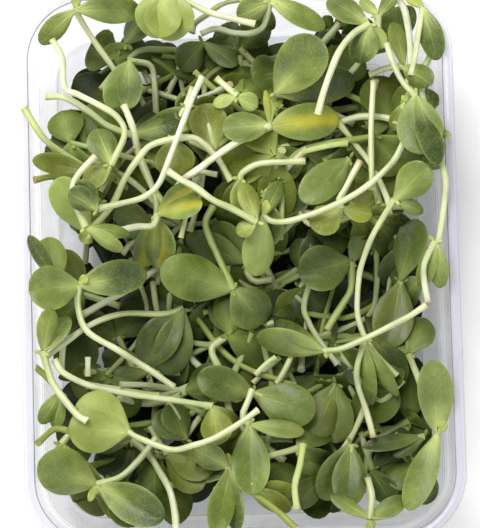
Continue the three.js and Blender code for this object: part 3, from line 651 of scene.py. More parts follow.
@dataclass
class Stem:
    """A stem seen from above, with the height of each of its points."""

    STEP = 9.0
    SAG = 0.8
    GAP = 0.3
    CROWN_REACH = 2.0
    CROWN_LOOKS = 8
    SWEEPS = 60
    AROUND = 9
    ROWS = (6, 34)
    ROW_LENGTH = 1.8
    LOOK_AHEAD = 0.02
    SLENDER = (0.8, 0.95)
    CUT_FLARE, CUT_REACH = 0.2, 0.9
    CROWN_SWELL, CROWN_LENGTH = 0.24, 2.2
    GREEN_FROM = 0.45
    CUT, CROWN = srgb(186, 148, 92), srgb(160, 178, 84)

    plan: list[Vector]
    diameter: float
    colour: StemTone
    points: list[Vector] = field(default_factory=list)
    marks: list[int] = field(default_factory=list)
    needs: list[float] = field(default_factory=list)

    def __post_init__(self) -> None:
        """Spaces the stem's points evenly."""
        spans = len(self.plan) - 1
        for span in range(spans):
            self.marks.append(len(self.points))
            reach = (self.plan[span + 1] - self.plan[span]).length
            steps = max(1, math.floor(reach / self.STEP + 0.5))
            for step in range(steps):
                self.points.append(through(self.plan, (span + step / steps) / spans))
        self.marks.append(len(self.points))
        self.points.append(through(self.plan, 1.0))
        self.needs = [0.0] * len(self.points)

    @property
    def radius(self) -> float:
        """Half the stem's thickness in mm."""
        return self.diameter / 2

    @property
    def crown(self) -> Vector:
        """Where the seed leaves grow from."""
        return self.points[-1]

    def sweep(self, index: int) -> Iterable[tuple[float, float, float]]:
        """Gives places across the stem between two of its points.

        Args:
            index: The first of the two points.

        Returns:
            The places, with the height of the stem's middle.
        """
        start, end = self.points[index], self.points[index + 1]
        along = Vector((end.x - start.x, end.y - start.y))
        length = along.length
        along.normalize()
        reach = self.radius + HeapMap.CELL / 2
        steps = math.ceil(length / HeapMap.CELL)
        for step in range(steps + 1):
            centre = start.lerp(end, step / steps)
            for side in (-reach, 0.0, reach):
                yield centre.x - along.y * side, centre.y + along.x * side, centre.z

    def measure(self, heap: HeapMap) -> None:
        """Finds the least height that each point needs over the heap."""
        for index in range(len(self.points) - 1):
            top = max(heap.height(x, y) for x, y, _ in self.sweep(index))
            need = max(top, 0.0) + self.radius + self.GAP
            self.needs[index] = max(self.needs[index], need)
            self.needs[index + 1] = max(self.needs[index + 1], need)
        for look in range(self.CROWN_LOOKS):
            angle = TURN * look / self.CROWN_LOOKS
            x = self.crown.x + self.CROWN_REACH * math.cos(angle)
            y = self.crown.y + self.CROWN_REACH * math.sin(angle)
            self.needs[-1] = max(self.needs[-1], heap.height(x, y) + self.radius + self.GAP)

    def relax(self) -> None:
        """Lets the stem sag between the places that hold it up, as a springy rod does."""
        last = len(self.points) - 1
        heights = list(self.needs)
        for _ in range(self.SWEEPS):
            for index in range(last + 1):
                middle = (heights[max(index - 1, 0)] + heights[min(index + 1, last)]) / 2
                heights[index] = max(self.needs[index], middle - self.SAG)
        for point, height in zip(self.points, heights):
            point.z = height

    def duck(self, ceiling: HeapMap) -> None:
        """Presses the stem down under what lies over it."""
        last = len(self.points) - 1
        for index in range(last):
            low = min(ceiling.height(x, y) for x, y, _ in self.sweep(index)) - self.radius
            for point in self.points[index : index + 2]:
                point.z = min(point.z, low)
        for _ in range(self.SWEEPS // 3):
            for index in range(1, last):
                middle = (self.points[index - 1].z + self.points[index + 1].z) / 2
                self.points[index].z = min(self.points[index].z, middle + self.SAG)

    def mark(self, heap: HeapMap, side: int) -> None:
        """Marks the stem's top, side 1, or its underside, side -1, on a map."""
        for index in range(len(self.points) - 1):
            for x, y, z in self.sweep(index):
                heap.mark(x, y, z + side * self.radius, side)

    def skin(self, modeller: "Modeller", looks: Draws) -> None:
        """Models the stem: a round rod with a flared, browned cut end and a swollen crown."""
        length = sum((b - a).length for a, b in zip(self.points, self.points[1:]))
        rows = held(round(length / self.ROW_LENGTH), *self.ROWS)
        phase = looks.between(0, TURN)
        slender = looks.between(*self.SLENDER)
        rest = blend(self.colour.value, StemTone.GREEN.value, looks.share() * 0.25)
        cut = blend(rest, self.CUT, 0.15 + 0.75 * looks.share() ** 2)
        crown_green = blend(rest, self.CROWN, 0.55)

        def place(share: float, turn: float) -> tuple[Vector, tuple, tuple]:
            """Places a point of the rod's skin, with its colour and its grain."""
            here = through(self.points, share)
            ahead = through(self.points, min(share + self.LOOK_AHEAD, 1.0))
            ahead -= through(self.points, max(share - self.LOOK_AHEAD, 0.0))
            ahead.normalize()
            across = Vector((-ahead.y, ahead.x, 0.0)).normalized()
            over = ahead.cross(across)
            along = share * length
            flare = self.CUT_FLARE * math.exp(-along / self.CUT_REACH)
            knot = self.CROWN_SWELL * math.exp(-(((length - along) / self.CROWN_LENGTH) ** 2))
            swell = 1 + flare + knot
            swell += 0.05 * math.sin(along * 0.45 + phase) + 0.03 * math.sin(3 * turn + along * 0.2)
            reach = self.radius * slender * swell
            spot = here + (across * math.cos(turn) + over * math.sin(turn)) * reach
            tint = blend(rest, crown_green, (share - self.GREEN_FROM) / (1 - self.GREEN_FROM))
            tint = blend(cut, tint, (along - 0.1) / 1.3)
            return spot, tint, (along, turn * self.radius, 0.0)

        modeller.roll(rows, self.AROUND, place)


class Outline(Enum):
    """A seed leaf's half width, as a share of the greatest, at shares of its length."""

    FULL = ((0.0, 0.17), (0.2, 0.5), (0.55, 1.0), (0.88, 0.74), (1.0, 0.2))
    NARROW = ((0.0, 0.2), (0.35, 0.82), (0.8, 0.86), (1.0, 0.22))
    BED = ((0.0, 0.17), (0.6, 1.0), (1.0, 0.3))

    def share(self, u: float) -> float:
        """Gives the half width's share at a share of the length."""
        steps = self.value
        after = max(next(i for i, step in enumerate(steps) if step[0] >= u), 1)
        (start, narrow), (end, wide) = steps[after - 1], steps[after]
        return narrow + (wide - narrow) * (u - start) / (end - start)


class Blade:
    """A seed leaf that spreads from a stem's crown to its tip."""

    THICKNESS = 0.8
    TRUE_WIDTH = 12.0
    TRUE_LENGTH = 26.0
    STEEPEST_ROLL = 0.55
    STEEPEST_RISE = 0.8
    LEAST_RISE_LIMIT = 0.35
    ARCH = (0.02, 0.09)
    CUP = (-0.02, 0.035)
    ROLL_WANDER = (-0.1, 0.1)
    LOWEST_RISE = -1.2
    ROWS = (7, 15)
    ROW_LENGTH = 1.6
    WIDE, AROUND_WIDE, AROUND = 4.7, 18, 14
    FULL_WAVES = 6
    SWING = (0.35, 0.95)
    SHADE = (-0.24, 0.22)
    FOLD = (-0.36, 0.5)
    PILLOW = (0.3, 1.2)
    LEAN = (-0.15, 0.3)
    WIDEST, ROOT_WIDTH, LEAST_HALF = 0.57, 0.14, 0.12
    GROOVE, GROOVE_WIDTH = 0.32, 0.9
    CURL, CURL_FROM = 0.2, 0.7
    FOOT_FLESH = 0.22
    UP_FROM = -0.1
    LIGHT, BLACK, UNDERSIDE = srgb(176, 188, 112), (0.0, 0.0, 0.0), srgb(150, 166, 100)
    # The first colour here is a painted highlight along a leaf's edge.
    RIM, STRIPE = srgb(172, 190, 96), srgb(176, 170, 30)

    def __init__(
        self,
        stem: Stem,
        tip: Vector,
        width: float,
        outline: Outline,
        rest_rise: float,
        draws: Draws,
        tone: Tone,
    ) -> None:
        """Lays the leaf out from above.

        Args:
            stem: The stem whose crown it grows from.
            tip: Where it ends, from above.
            width: Its greatest width in mm, from above.
            outline: Its outline.
            rest_rise: Its rise along its length where nothing lifts it.
            draws: The stream that its form is drawn from.
            tone: The colour of its face.
        """
        self.stem = stem
        self.outline = outline
        self.along = Vector((tip.x - stem.crown.x, tip.y - stem.crown.y))
        self.length = self.along.length
        self.along.normalize()
        self.half_width = width / 2
        self.rise = rest_rise
        self.tone = tone
        narrow = max(self.TRUE_WIDTH / width, 1)
        steepness = min(math.sqrt(narrow * narrow - 1), self.STEEPEST_ROLL)
        side = -1 if draws.share() < 0.5 else 1
        self.roll = side * steepness + draws.between(*self.ROLL_WANDER)
        self.arch = draws.between(*self.ARCH)
        self.cup = draws.between(*self.CUP)
        stretch = max(self.TRUE_LENGTH / self.length, 1)
        limit = math.sqrt(stretch * stretch - 1)
        self.rise_limit = held(limit, self.LEAST_RISE_LIMIT, self.STEEPEST_RISE)

    @property
    def half_thickness(self) -> float:
        """Half the leaf's thickness, measured upright."""
        return self.THICKNESS / 2 * math.hypot(1, self.rise, self.roll)

    def lift(self, u: float, side: float) -> float:
        """Gives the height over the crown without the rise."""
        return self.arch * self.length * 4 * u * (1 - u) + self.roll * side + self.cup * side * side

    def place(self, u: float, side: float) -> Vector:
        """Finds the place at a share of the length and a distance to the side."""
        crown = self.stem.crown
        reach = self.length * u
        return Vector((
            crown.x + self.along.x * reach - self.along.y * side,
            crown.y + self.along.y * reach + self.along.x * side,
            crown.z + self.rise * reach + self.lift(u, side),
        ))

    def cover(self) -> Iterable[tuple[float, float]]:
        """Gives places spread over the leaf, about half a cell apart."""
        rows = math.ceil(self.length / HeapMap.CELL) + 1
        for row in range(rows + 1):
            u = row / rows
            half = self.half_width * self.outline.share(u)
            columns = math.ceil(half / HeapMap.CELL) + 1
            for column in range(-columns, columns + 1):
                yield u, half * column / columns

    def rise_over(self, heap: HeapMap) -> float:
        """Finds the rise that clears the heap with the crown where it is."""
        rise = self.rise
        for u, side in self.cover():
            if u < Stem.CROWN_REACH / self.length:
                continue
            spot = self.place(u, side)
            base = self.stem.crown.z + self.lift(u, side)
            need = heap.height(spot.x, spot.y) + Stem.GAP + self.half_thickness
            rise = max(rise, (need - base) / (u * self.length))
        return rise

    def duck(self, ceiling: HeapMap) -> None:
        """Presses the leaf down under what lies over it."""
        for u, side in self.cover():
            if u < 4 * Stem.CROWN_REACH / self.length:
                continue
            spot = self.place(u, side)
            base = self.stem.crown.z + self.lift(u, side)
            room = ceiling.height(spot.x, spot.y) - self.half_thickness
            self.rise = max(min(self.rise, (room - base) / (u * self.length)), self.LOWEST_RISE)

    def mark(self, heap: HeapMap, side: int) -> None:
        """Marks the leaf's top, side 1, or its underside, side -1, on a map."""
        for u, across in self.cover():
            spot = self.place(u, across)
            heap.mark(spot.x, spot.y, spot.z + side * self.half_thickness, side)

    def skin(self, modeller: "Modeller", looks: Draws) -> None:
        """Models the leaf: a fleshy plate with a round tip, a groove on its midrib and a wave."""
        rows = held(round(self.length / self.ROW_LENGTH), *self.ROWS)
        around = self.AROUND_WIDE if self.half_width > self.WIDE else self.AROUND
        waves = [looks.between(0, TURN) for _ in range(3)]
        fullness = min(self.half_width / self.FULL_WAVES, 1)
        swing = looks.between(*self.SWING) * fullness
        shade = looks.between(*self.SHADE)
        face = blend(self.tone.value, self.LIGHT if shade > 0 else self.BLACK, abs(shade))
        under = blend(face, self.UNDERSIDE, 0.4)
        root = blend(StemTone.GREEN.value, face, 0.35)
        fold = looks.between(*self.FOLD)
        pillow = looks.between(*self.PILLOW) * fullness
        stripe = 1.0 if self.tone is Tone.STRIPED else 0.0
        lean = looks.between(*self.LEAN)
        across = Vector((-self.along.y, self.along.x, 0.0))
        ahead = Vector((self.along.x, self.along.y, 0.0))

        def place(share: float, turn: float) -> tuple[Vector, tuple, tuple]:
            """Places a point of the leaf's skin, with its colour and its grain."""
            u = math.sin(share * math.pi / 2)
            if u > self.WIDEST:
                width = math.sqrt(max(1 - ((u - self.WIDEST) / (1 - self.WIDEST)) ** 2, 0.0))
            else:
                swell = math.sin(math.pi / 2 * u / self.WIDEST) ** (0.95 + lean)
                width = self.ROOT_WIDTH + (1 - self.ROOT_WIDTH) * swell
            half = max(self.half_width * width, self.LEAST_HALF)
            side = half * math.cos(turn)
            flesh = 0.5 + 0.5 * max(1 - u / self.FOOT_FLESH, 0.0) - 0.2 * u
            spot = self.place(u, side)
            tip_curl = self.CURL * self.length * max(u - self.CURL_FROM, 0.0) ** 2
            wave = swing * math.sin(5.2 * u + waves[0]) * math.cos(side * 0.42 + waves[1])
            spot.z += wave - tip_curl
            spot.z += 0.25 * swing * math.sin(11 * u + waves[2]) * (side / self.half_width) ** 2
            groove = self.GROOVE * math.exp(-((side / self.GROOVE_WIDTH) ** 2))
            spot.z -= groove * min(u * 4, 1) * (1 - u)
            spread = abs(side) / self.half_width
            spot.z += fold * (abs(side) - 0.4 * self.half_width) * min(u * 3, 1)
            spot.z += pillow * (math.sin(math.pi * min(spread, 1)) - 0.5) * math.sin(math.pi * u)
            steep = self.roll + 2 * self.cup * side + math.copysign(fold, side)
            normal = Vector((0, 0, 1)) - ahead * self.rise - across * steep
            spot += normal.normalized() * flesh * math.sin(turn)
            up = math.sin(turn) > self.UP_FROM
            tint = blend(root, face if up else under, held((u - 0.02) / 0.4) ** 0.6)
            # Painted highlight: a paler line along the leaf's edge, where the edge catches the
            # light.
            rim = abs(math.cos(turn)) ** 14
            tint = blend(tint, self.RIM, 0.35 * rim)
            middle = math.exp(-((side / (0.42 * self.half_width)) ** 4)) * stripe
            tint = blend(tint, self.STRIPE, 0.85 * middle * min(u * 5, 1))
            return spot, tint, (u * self.length, side, 1.0)

        modeller.roll(rows, around, place)


@dataclass
class Shoot:
    """A shoot: its stem and its seed leaves, settled on the heap."""

    CROWN_LIFT = 0.5
    BUD_LENGTH, BUD_WIDTH, BUD_TURN = 2.6, 1.3, 2.4
    SEEN_BUD_WIDTH = 2.8
    BUD_RISE = 0.5
    BUD_ROLL = 0.3

    stem: Stem
    blades: list[Blade]
    bud: Vector | None = None

    def settle(self, heap: HeapMap) -> None:
        """Lets the shoot come to rest on the heap."""
        self.stem.measure(heap)
        self.stem.relax()
        for blade in self.blades:
            while blade.rise_over(heap) > blade.rise_limit:
                self.stem.needs[-1] = self.stem.crown.z + self.CROWN_LIFT
                self.stem.relax()
        for blade in self.blades:
            blade.rise = blade.rise_over(heap)

    def heights(self) -> tuple[list[float], list[float]]:
        """Gives the heights of the stem's drawn points and of the leaves' tips."""
        stem = [self.stem.points[mark].z for mark in self.stem.marks]
        return stem, [blade.place(1, 0).z for blade in self.blades]

    def mark(self, heap: HeapMap, side: int = 1) -> None:
        """Marks the shoot's top, side 1, or its underside, side -1, on a map."""
        for part in (self.stem, *self.blades):
            part.mark(heap, side)

    def duck(self, ceiling: HeapMap) -> None:
        """Presses the shoot down under what lies over it."""
        for part in (self.stem, *self.blades):
            part.duck(ceiling)

    def skin(self, modeller: "Modeller", looks: Draws) -> None:
        """Models the shoot, with a small pair of first true leaves in its crown."""
        for part in (self.stem, *self.blades):
            part.skin(modeller, looks)
        if not self.blades:
            return
        heading = looks.between(0, TURN)
        crown, tips, width, tone = self.stem.crown.xy, [], self.BUD_WIDTH, LIME
        for angle in (heading, heading + self.BUD_TURN):
            tips.append(crown + Vector((math.cos(angle), math.sin(angle))) * self.BUD_LENGTH)
        if self.bud:
            tips = [self.bud.xy, crown.lerp(self.bud.xy, 0.7) + Vector((1.2, 0.4))]
            width, tone = self.SEEN_BUD_WIDTH, YELLOW
        for tip in tips:
            bud = Blade(self.stem, tip.to_3d(), width, Outline.NARROW, self.BUD_RISE, looks, tone)
            bud.roll *= self.BUD_ROLL
            bud.skin(modeller, looks)


class Heap:
    """All the shoots in the tray, each on what lies under it."""

    SEED = 11
    LOOKS_SEED = 29
    CAMERA_DISTANCE = 720.0
    CAMERA_TILT = math.radians(4.7)
    PHOTO_TURN = math.radians(-1.5)
    REACH_MARGIN = 2.0
    WALL_GAP = 1.0
    PULL = 0.985
    SHORTEST_BLADE = 5.0
    TUCKED_RISE = 0.25
    REST_RISE = -0.2
    TWIN_TURN = math.radians(24)
    TWIN_DROP = 0.2
    TWIN_SHARE = 0.95
    NARROW = 9.6
    CLUMP_ROOTS = ((-31, 54), (31, 54), (-31, 0), (31, 0), (-31, -54), (31, -54), (0, 20))
    CLUMP_SHOOTS = 4
    BED_STEM_DIAMETER = 3.0
    BED_STEM_LENGTH = (17, 27)
    BED_BLADE_LENGTH = 17
    BED_BLADE_WIDTH = 14
    BED_MARGIN = 13
    BED_CROWN_HEIGHT = (5, 17)
    BED_TOP = 20.0
    BED_REST_RISE = -0.1
    BED_BEND, BED_SPREAD, ROOT_WANDER = (-0.5, 0.5), (0.4, 1.2), (-0.25, 0.25)
    CORNER_PULL = 1.4
    FILL_SHOOTS = 74
    FILL_MARGIN = 17.0
    FILL_TIP_MARGIN = 14.0
    FILL_X, FILL_Y = (-50, 54), (-70, 78)
    FILL_LENGTH = (34, 58)
    FILL_BEND = (-0.7, 0.7)
    FILL_DIAMETER = (2.1, 2.7)
    FILL_SPREAD = (0.35, 1.3)
    FILL_BLADE_LENGTH, FILL_BLADE_WIDTH = (15, 21), (12, 16)
    LITTER = (9, 12)
    LITTER_REACH = (100, 140)
    LITTER_SPOT = (0.2, 0.8)
    LITTER_HALF_LENGTH, LITTER_WIDTH, LITTER_STEM = 9, 14, 1.6
    LITTER_HEIGHT = (3.4, 9)
    LITTER_RISE = (-0.12, 0.3)
    HEADROOM = 5.0
    UNDERGROWTH_FLOOR = 16.0

    def __init__(self, form: TrayForm) -> None:
        """Settles every shoot.

        Args:
            form: The tray's sizes.
        """
        self.form = form
        self.draws = Draws(self.SEED)
        self.looks = Draws(self.LOOKS_SEED)
        surface = HeapMap(form, form.height_at)
        self.clumps = [self.clump(surface, root) for root in self.CLUMP_ROOTS]
        bed = list(surface.heights)
        surface.fill(self.BED_TOP)
        self.shoots: dict[int, list[Shoot]] = {}
        seed = self.SEED
        for level, seen in SHOOTS.items():
            self.shoots[level] = []
            for each in seen:
                self.shoots[level].append(self.settled_shoot(each, seed, surface))
                seed += 1
        surface.heights = bed
        self.fill = self.filling(surface)
        self.undergrowth = self.lower_shoots(surface)

    def plan(self, place: tuple[float, float], z: float) -> Vector:
        """Finds where a spot of the photograph lies over the tray.

        Args:
            place: The spot, in mm from the photograph's middle.
            z: Its height in mm.

        Returns:
            The place from above.
        """
        x, y = turned(*place, self.PHOTO_TURN)
        cos, sin = math.cos(self.CAMERA_TILT), math.sin(self.CAMERA_TILT)
        distance = self.CAMERA_DISTANCE
        share = (self.form.height + distance * cos - z) / (distance * cos - y * sin)
        x, y = x * share, (distance * sin + y * cos) * share - distance * sin
        return self.within(x, y, self.REACH_MARGIN)

    def within(self, x: float, y: float, margin: float) -> Vector:
        """Keeps a place inside the flange's outer edge by a margin."""
        reach_x = self.form.width / 2 - margin
        reach_y = self.form.length / 2 - margin
        return Vector((held(x, -reach_x, reach_x), held(y, -reach_y, reach_y), 0.0))

    def seen_shoot(
        self, seen: Seen, draws: Draws, heights: tuple[list[float], list[float]]
    ) -> Shoot:
        """Makes a shoot as it is seen.

        Args:
            seen: What is seen of it. An unseen stem is tucked under the first leaf.
            draws: The stream that its form is drawn from.
            heights: How high the stem's points and the leaves' tips lie, in mm.

        Returns:
            The shoot, not settled yet.
        """
        from_end = heights[0][-len(seen.stem) :]
        points = [self.plan(point, z) for point, z in zip(seen.stem, from_end)]
        tips = [self.plan((leaf.x, leaf.y), z) for leaf, z in zip(seen.leaves, heights[1])]
        tucked = len(points) == 1
        if tucked:
            points = [tips[0].lerp(points[0], 0.1), tips[0].lerp(points[0], 0.5), points[0]]
        stem = Stem(points, seen.diameter, seen.colour)
        rest = self.TUCKED_RISE if tucked else self.REST_RISE
        blades = []
        for leaf, tip in zip(seen.leaves, tips):
            outline = Outline.NARROW if leaf.width < self.NARROW else Outline.FULL
            blades.append(Blade(stem, tip, leaf.width, outline, rest, draws, leaf.tone))
        if len(blades) == 1:
            turn = self.TWIN_TURN if draws.share() < 0.5 else -self.TWIN_TURN
            reach = tips[0] - Vector((stem.crown.x, stem.crown.y, 0.0))
            tip = stem.crown + Vector((*turned(reach.x, reach.y, turn), 0.0))
            width, tone = self.TWIN_SHARE * seen.leaves[0].width, seen.leaves[0].tone
            rise = rest - self.TWIN_DROP
            blades.append(Blade(stem, tip, width, Outline.NARROW, rise, draws, tone))
        return Shoot(stem, blades, self.plan(seen.bud, from_end[-1]) if seen.bud else None)

    def settled_shoot(
        self, seen: Seen, seed: int, surface: HeapMap, ceiling: HeapMap | None = None
    ) -> Shoot:
        """Settles a seen shoot twice: the first time shows how high its points lie.

        Args:
            seen: What is seen of it.
            seed: The seed of its form.
            surface: The heap under it.
            ceiling: What lies over it, if it is pressed down.

        Returns:
            The settled shoot.
        """
        heights = [self.form.height] * len(seen.stem), [self.form.height] * len(seen.leaves)
        for _ in range(2):
            shoot = self.seen_shoot(seen, Draws(seed), heights)
            shoot.settle(surface)
            if ceiling:
                shoot.duck(ceiling)
                self.keep_inside(shoot)
            heights = shoot.heights()
        shoot.mark(surface)
        return shoot

    def keep_inside(self, shoot: Shoot) -> None:
        """Draws a pressed stem in from the tray's wall, and its leaves back to the crown."""
        form = self.form
        for point in shoot.stem.points:
            while form.height_at(point.x, point.y) > point.z - shoot.stem.radius - self.WALL_GAP:
                if form.inset_at(point.x, point.y) > form.panel_inset:
                    break
                point.x *= self.PULL
                point.y *= self.PULL
        for blade in shoot.blades:
            while blade.length > self.SHORTEST_BLADE and self.cuts_wall(blade):
                blade.length *= self.PULL**3
                blade.half_width *= self.PULL

    def cuts_wall(self, blade: Blade) -> bool:
        """Tells whether a leaf runs into the tray's wall."""
        for u, side in blade.cover():
            spot = blade.place(u, side)
            near = self.form.inset_at(spot.x, spot.y) < self.form.foot_inset + 1
            if near and self.form.height_at(spot.x, spot.y) > spot.z - self.WALL_GAP:
                return True
        return False

    def on_floor(self, x: float, y: float) -> Vector:
        """Keeps a place of the bed clear of the tray's walls."""
        place = self.within(x, y, self.BED_MARGIN)
        short = self.BED_MARGIN - self.form.inset_at(place.x, place.y)
        if short > 0:
            place *= (place.length - self.CORNER_PULL * short) / place.length
        return place

    def floor_way(self, start: Vector, angle: float, reach: float) -> Vector:
        """Finds the place on the bed that lies some way off at an angle."""
        return self.on_floor(start.x + reach * math.cos(angle), start.y + reach * math.sin(angle))

    def off_wall(self, x: float, y: float, margin: float) -> Vector:
        """Draws a place that is too near the flange's edge in towards the middle."""
        short = max(margin - self.form.inset_at(x, y), 0)
        return Vector((x, y, 0)) * (1 - self.CORNER_PULL * short / math.hypot(x, y))

    def bed_shoot(self, root: tuple[float, float], heading: float) -> Shoot:
        """Makes one of the bed's shoots.

        Args:
            root: The root of its clump.
            heading: The way that it runs out.

        Returns:
            The shoot, not settled yet.
        """
        draws = self.draws
        half = draws.between(*self.BED_STEM_LENGTH) / 2
        end_heading = heading + draws.between(*self.BED_BEND)
        start = self.on_floor(*root)
        middle = self.floor_way(start, heading, half)
        crown = self.floor_way(middle, end_heading, half)
        stem = Stem([start, middle, crown], self.BED_STEM_DIAMETER, StemTone.GREEN)
        stem.needs[-1] = draws.between(*self.BED_CROWN_HEIGHT)
        blades = []
        for side in (-1, 1):
            angle = end_heading + side * draws.between(*self.BED_SPREAD)
            tip = self.floor_way(crown, angle, self.BED_BLADE_LENGTH)
            width, tone = self.BED_BLADE_WIDTH, DARK if side < 0 else MID
            rise = self.BED_REST_RISE
            blades.append(Blade(stem, tip, width, Outline.BED, rise, draws, tone))
        return Shoot(stem, blades)

    def clump(self, surface: HeapMap, root: tuple[float, float]) -> list[Shoot]:
        """Makes a clump of the bed, whose shoots share the height of their root.

        Args:
            surface: The heap so far.
            root: The clump's root.

        Returns:
            The settled shoots.
        """
        shoots = []
        for index in range(self.CLUMP_SHOOTS):
            heading = TURN * (index + self.draws.between(*self.ROOT_WANDER)) / self.CLUMP_SHOOTS
            shoots.append(self.bed_shoot(root, heading))
        for shoot in shoots:
            shoot.settle(surface)
        height = max(shoot.stem.points[0].z for shoot in shoots)
        for shoot in shoots:
            shoot.stem.needs[0] = height
            shoot.settle(surface)
        for shoot in shoots:
            shoot.mark(surface)
        return shoots

    def ceiling(self, level: int) -> HeapMap:
        """Maps the undersides of the solids' shoots above a level."""
        overhead = HeapMap(self.form, lambda x, y: self.form.height + self.HEADROOM)
        for higher, shoots in self.shoots.items():
            if higher > level:
                for shoot in shoots:
                    shoot.mark(overhead, -1)
        return overhead

    def filling(self, surface: HeapMap) -> list[Shoot]:
        """Spreads shoots in the depth of the heap and along the walls.

        Args:
            surface: The heap so far.

        Returns:
            The settled shoots.
        """
        looks = self.looks
        overhead = self.ceiling(0)
        shoots = []
        for index in range(self.FILL_SHOOTS):
            x, y = looks.between(*self.FILL_X), looks.between(*self.FILL_Y)
            heading = looks.between(0, TURN)
            length = looks.between(*self.FILL_LENGTH)
            bend = looks.between(*self.FILL_BEND)
            ends = []
            for share, angle in ((-0.5, heading - bend), (0.0, heading), (0.5, heading + bend)):
                spot_x = x + share * length * math.cos(angle)
                spot_y = y + share * length * math.sin(angle)
                ends.append(self.off_wall(spot_x, spot_y, self.FILL_MARGIN))
            colour = (WHITE, StemTone.CREAM, GREEN)[index % 3]
            stem = Stem(ends, looks.between(*self.FILL_DIAMETER), colour)
            blades = []
            for side in (-1, 1):
                angle = heading + bend + side * looks.between(*self.FILL_SPREAD)
                reach = looks.between(*self.FILL_BLADE_LENGTH)
                tip = stem.crown + Vector((math.cos(angle), math.sin(angle), 0)) * reach
                tip = self.off_wall(tip.x, tip.y, self.FILL_TIP_MARGIN)
                # Painted shade: mostly dark tones for these deep leaves, so the depth of the heap
                # looks shaded.
                tone = (DARK, MID, DARK, OLIVE)[index % 4]
                width = looks.between(*self.FILL_BLADE_WIDTH)
                blades.append(Blade(stem, tip, width, Outline.FULL, self.REST_RISE, looks, tone))
            shoot = Shoot(stem, blades)
            shoot.settle(surface)
            shoot.duck(overhead)
            self.keep_inside(shoot)
            shoot.mark(surface)
            shoots.append(shoot)
        return shoots

    def lower_shoots(self, surface: HeapMap) -> dict[int, list[Shoot]]:
        """Settles the undergrowth between the levels of the solids' shoots.

        Args:
            surface: The heap so far.

        Returns:
            The settled shoots of each level.
        """
        settled = {}
        for level, seen in UNDERGROWTH.items():
            for shoot in self.shoots.get(level - 1, []):
                shoot.mark(surface)
            surface.fill(self.UNDERGROWTH_FLOOR)
            overhead = self.ceiling(level - 1)
            settled[level] = [
                self.settled_shoot(each, seed, surface, overhead)
                for seed, each in enumerate(seen, 100 * level)
            ]
        return settled

    def litter(self) -> list[Shoot]:
        """Lays loose dark leaves all over the floor, which show in the gaps of the heap; their dark
        tones are painted shade for those gaps.
        """
        looks = self.looks
        (columns, rows), (width, length) = self.LITTER, self.LITTER_REACH
        leaves = []
        for row in range(rows):
            for column in range(columns):
                x = (column + looks.between(*self.LITTER_SPOT) - columns / 2) * width / columns
                y = (row + looks.between(*self.LITTER_SPOT) - rows / 2) * length / rows
                spot = self.on_floor(x, y)
                angle = looks.between(0, TURN)
                start = self.floor_way(spot, angle, -self.LITTER_HALF_LENGTH)
                stem = Stem([start, start.lerp(spot, 0.2)], self.LITTER_STEM, BROWNISH)
                for point in stem.points:
                    point.z = looks.between(*self.LITTER_HEIGHT)
                tip = self.floor_way(spot, angle, self.LITTER_HALF_LENGTH)
                # Painted shade: mostly dark tones, so the gaps of the heap look shaded.
                tone = (DARK, DARK, OLIVE)[(row + column) % 3]
                rise = looks.between(*self.LITTER_RISE)
                blade = Blade(stem, tip, self.LITTER_WIDTH, Outline.FULL, rise, looks, tone)
                leaves.append(Shoot(stem, [blade]))
        return leaves


class Modeller:
    """Builds one piece's mesh in mm and hands it over in metres."""

    def __init__(self, name: str) -> None:
        """Starts an empty mesh.

        Args:
            name: The piece's name.
        """
        self.name = name
        self.bm = bmesh.new()
        for layer in ("tint", "grain"):
            self.bm.verts.layers.float_color.new(layer)

    def roll(self, rows: int, around: int, place: Callable[[float, float], tuple]) -> None:
        """Rolls a grid into a round skin.

        Args:
            rows: The faces along it.
            around: The faces round it.
            place: Gives the place, the colour and the grain at a share of the length and a turn.
        """
        skin = bmesh.new()
        tints = skin.verts.layers.float_color.new("tint")
        grains = skin.verts.layers.float_color.new("grain")
        bmesh.ops.create_grid(skin, x_segments=rows, y_segments=around, size=0.5)
        seam = []
        for vert in skin.verts:
            share, turn = vert.co.x + 0.5, (vert.co.y + 0.5) * TURN
            spot, tint, grain = place(share, turn)
            vert[tints] = (*tint, 1.0)
            vert[grains] = (*grain, 1.0)
            if turn < 1e-4 or turn > TURN - 1e-4:
                seam.append(vert)
            vert.co = spot * MM
        bmesh.ops.remove_doubles(skin, verts=seam, dist=1e-7)
        rims = [edge for edge in skin.edges if edge.is_boundary]
        bmesh.ops.holes_fill(skin, edges=rims, sides=0)
        bmesh.ops.recalc_face_normals(skin, faces=skin.faces[:])
        shell = bpy.data.meshes.new("skin")
        skin.to_mesh(shell)
        skin.free()
        self.bm.from_mesh(shell)
        bpy.data.meshes.remove(shell)

    def finish(self, material: bpy.types.Material, crease: float) -> bpy.types.Object:
        """Makes the mesh a piece.

        Args:
            material: The piece's finish.
            crease: The angle in radians from which an edge stays sharp.

        Returns:
            The piece's object.
        """
        for face in self.bm.faces:
            face.smooth = True
        mesh = bpy.data.meshes.new(self.name)
        self.bm.to_mesh(mesh)
        self.bm.free()
        mesh.set_sharp_from_angle(angle=crease)
        piece = bpy.data.objects.new(self.name, mesh)
        bpy.context.scene.collection.objects.link(piece)
        mesh.materials.append(material)
        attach(piece, "root")
        LOG.info("%s: %d faces", self.name, len(mesh.polygons))
        return piece


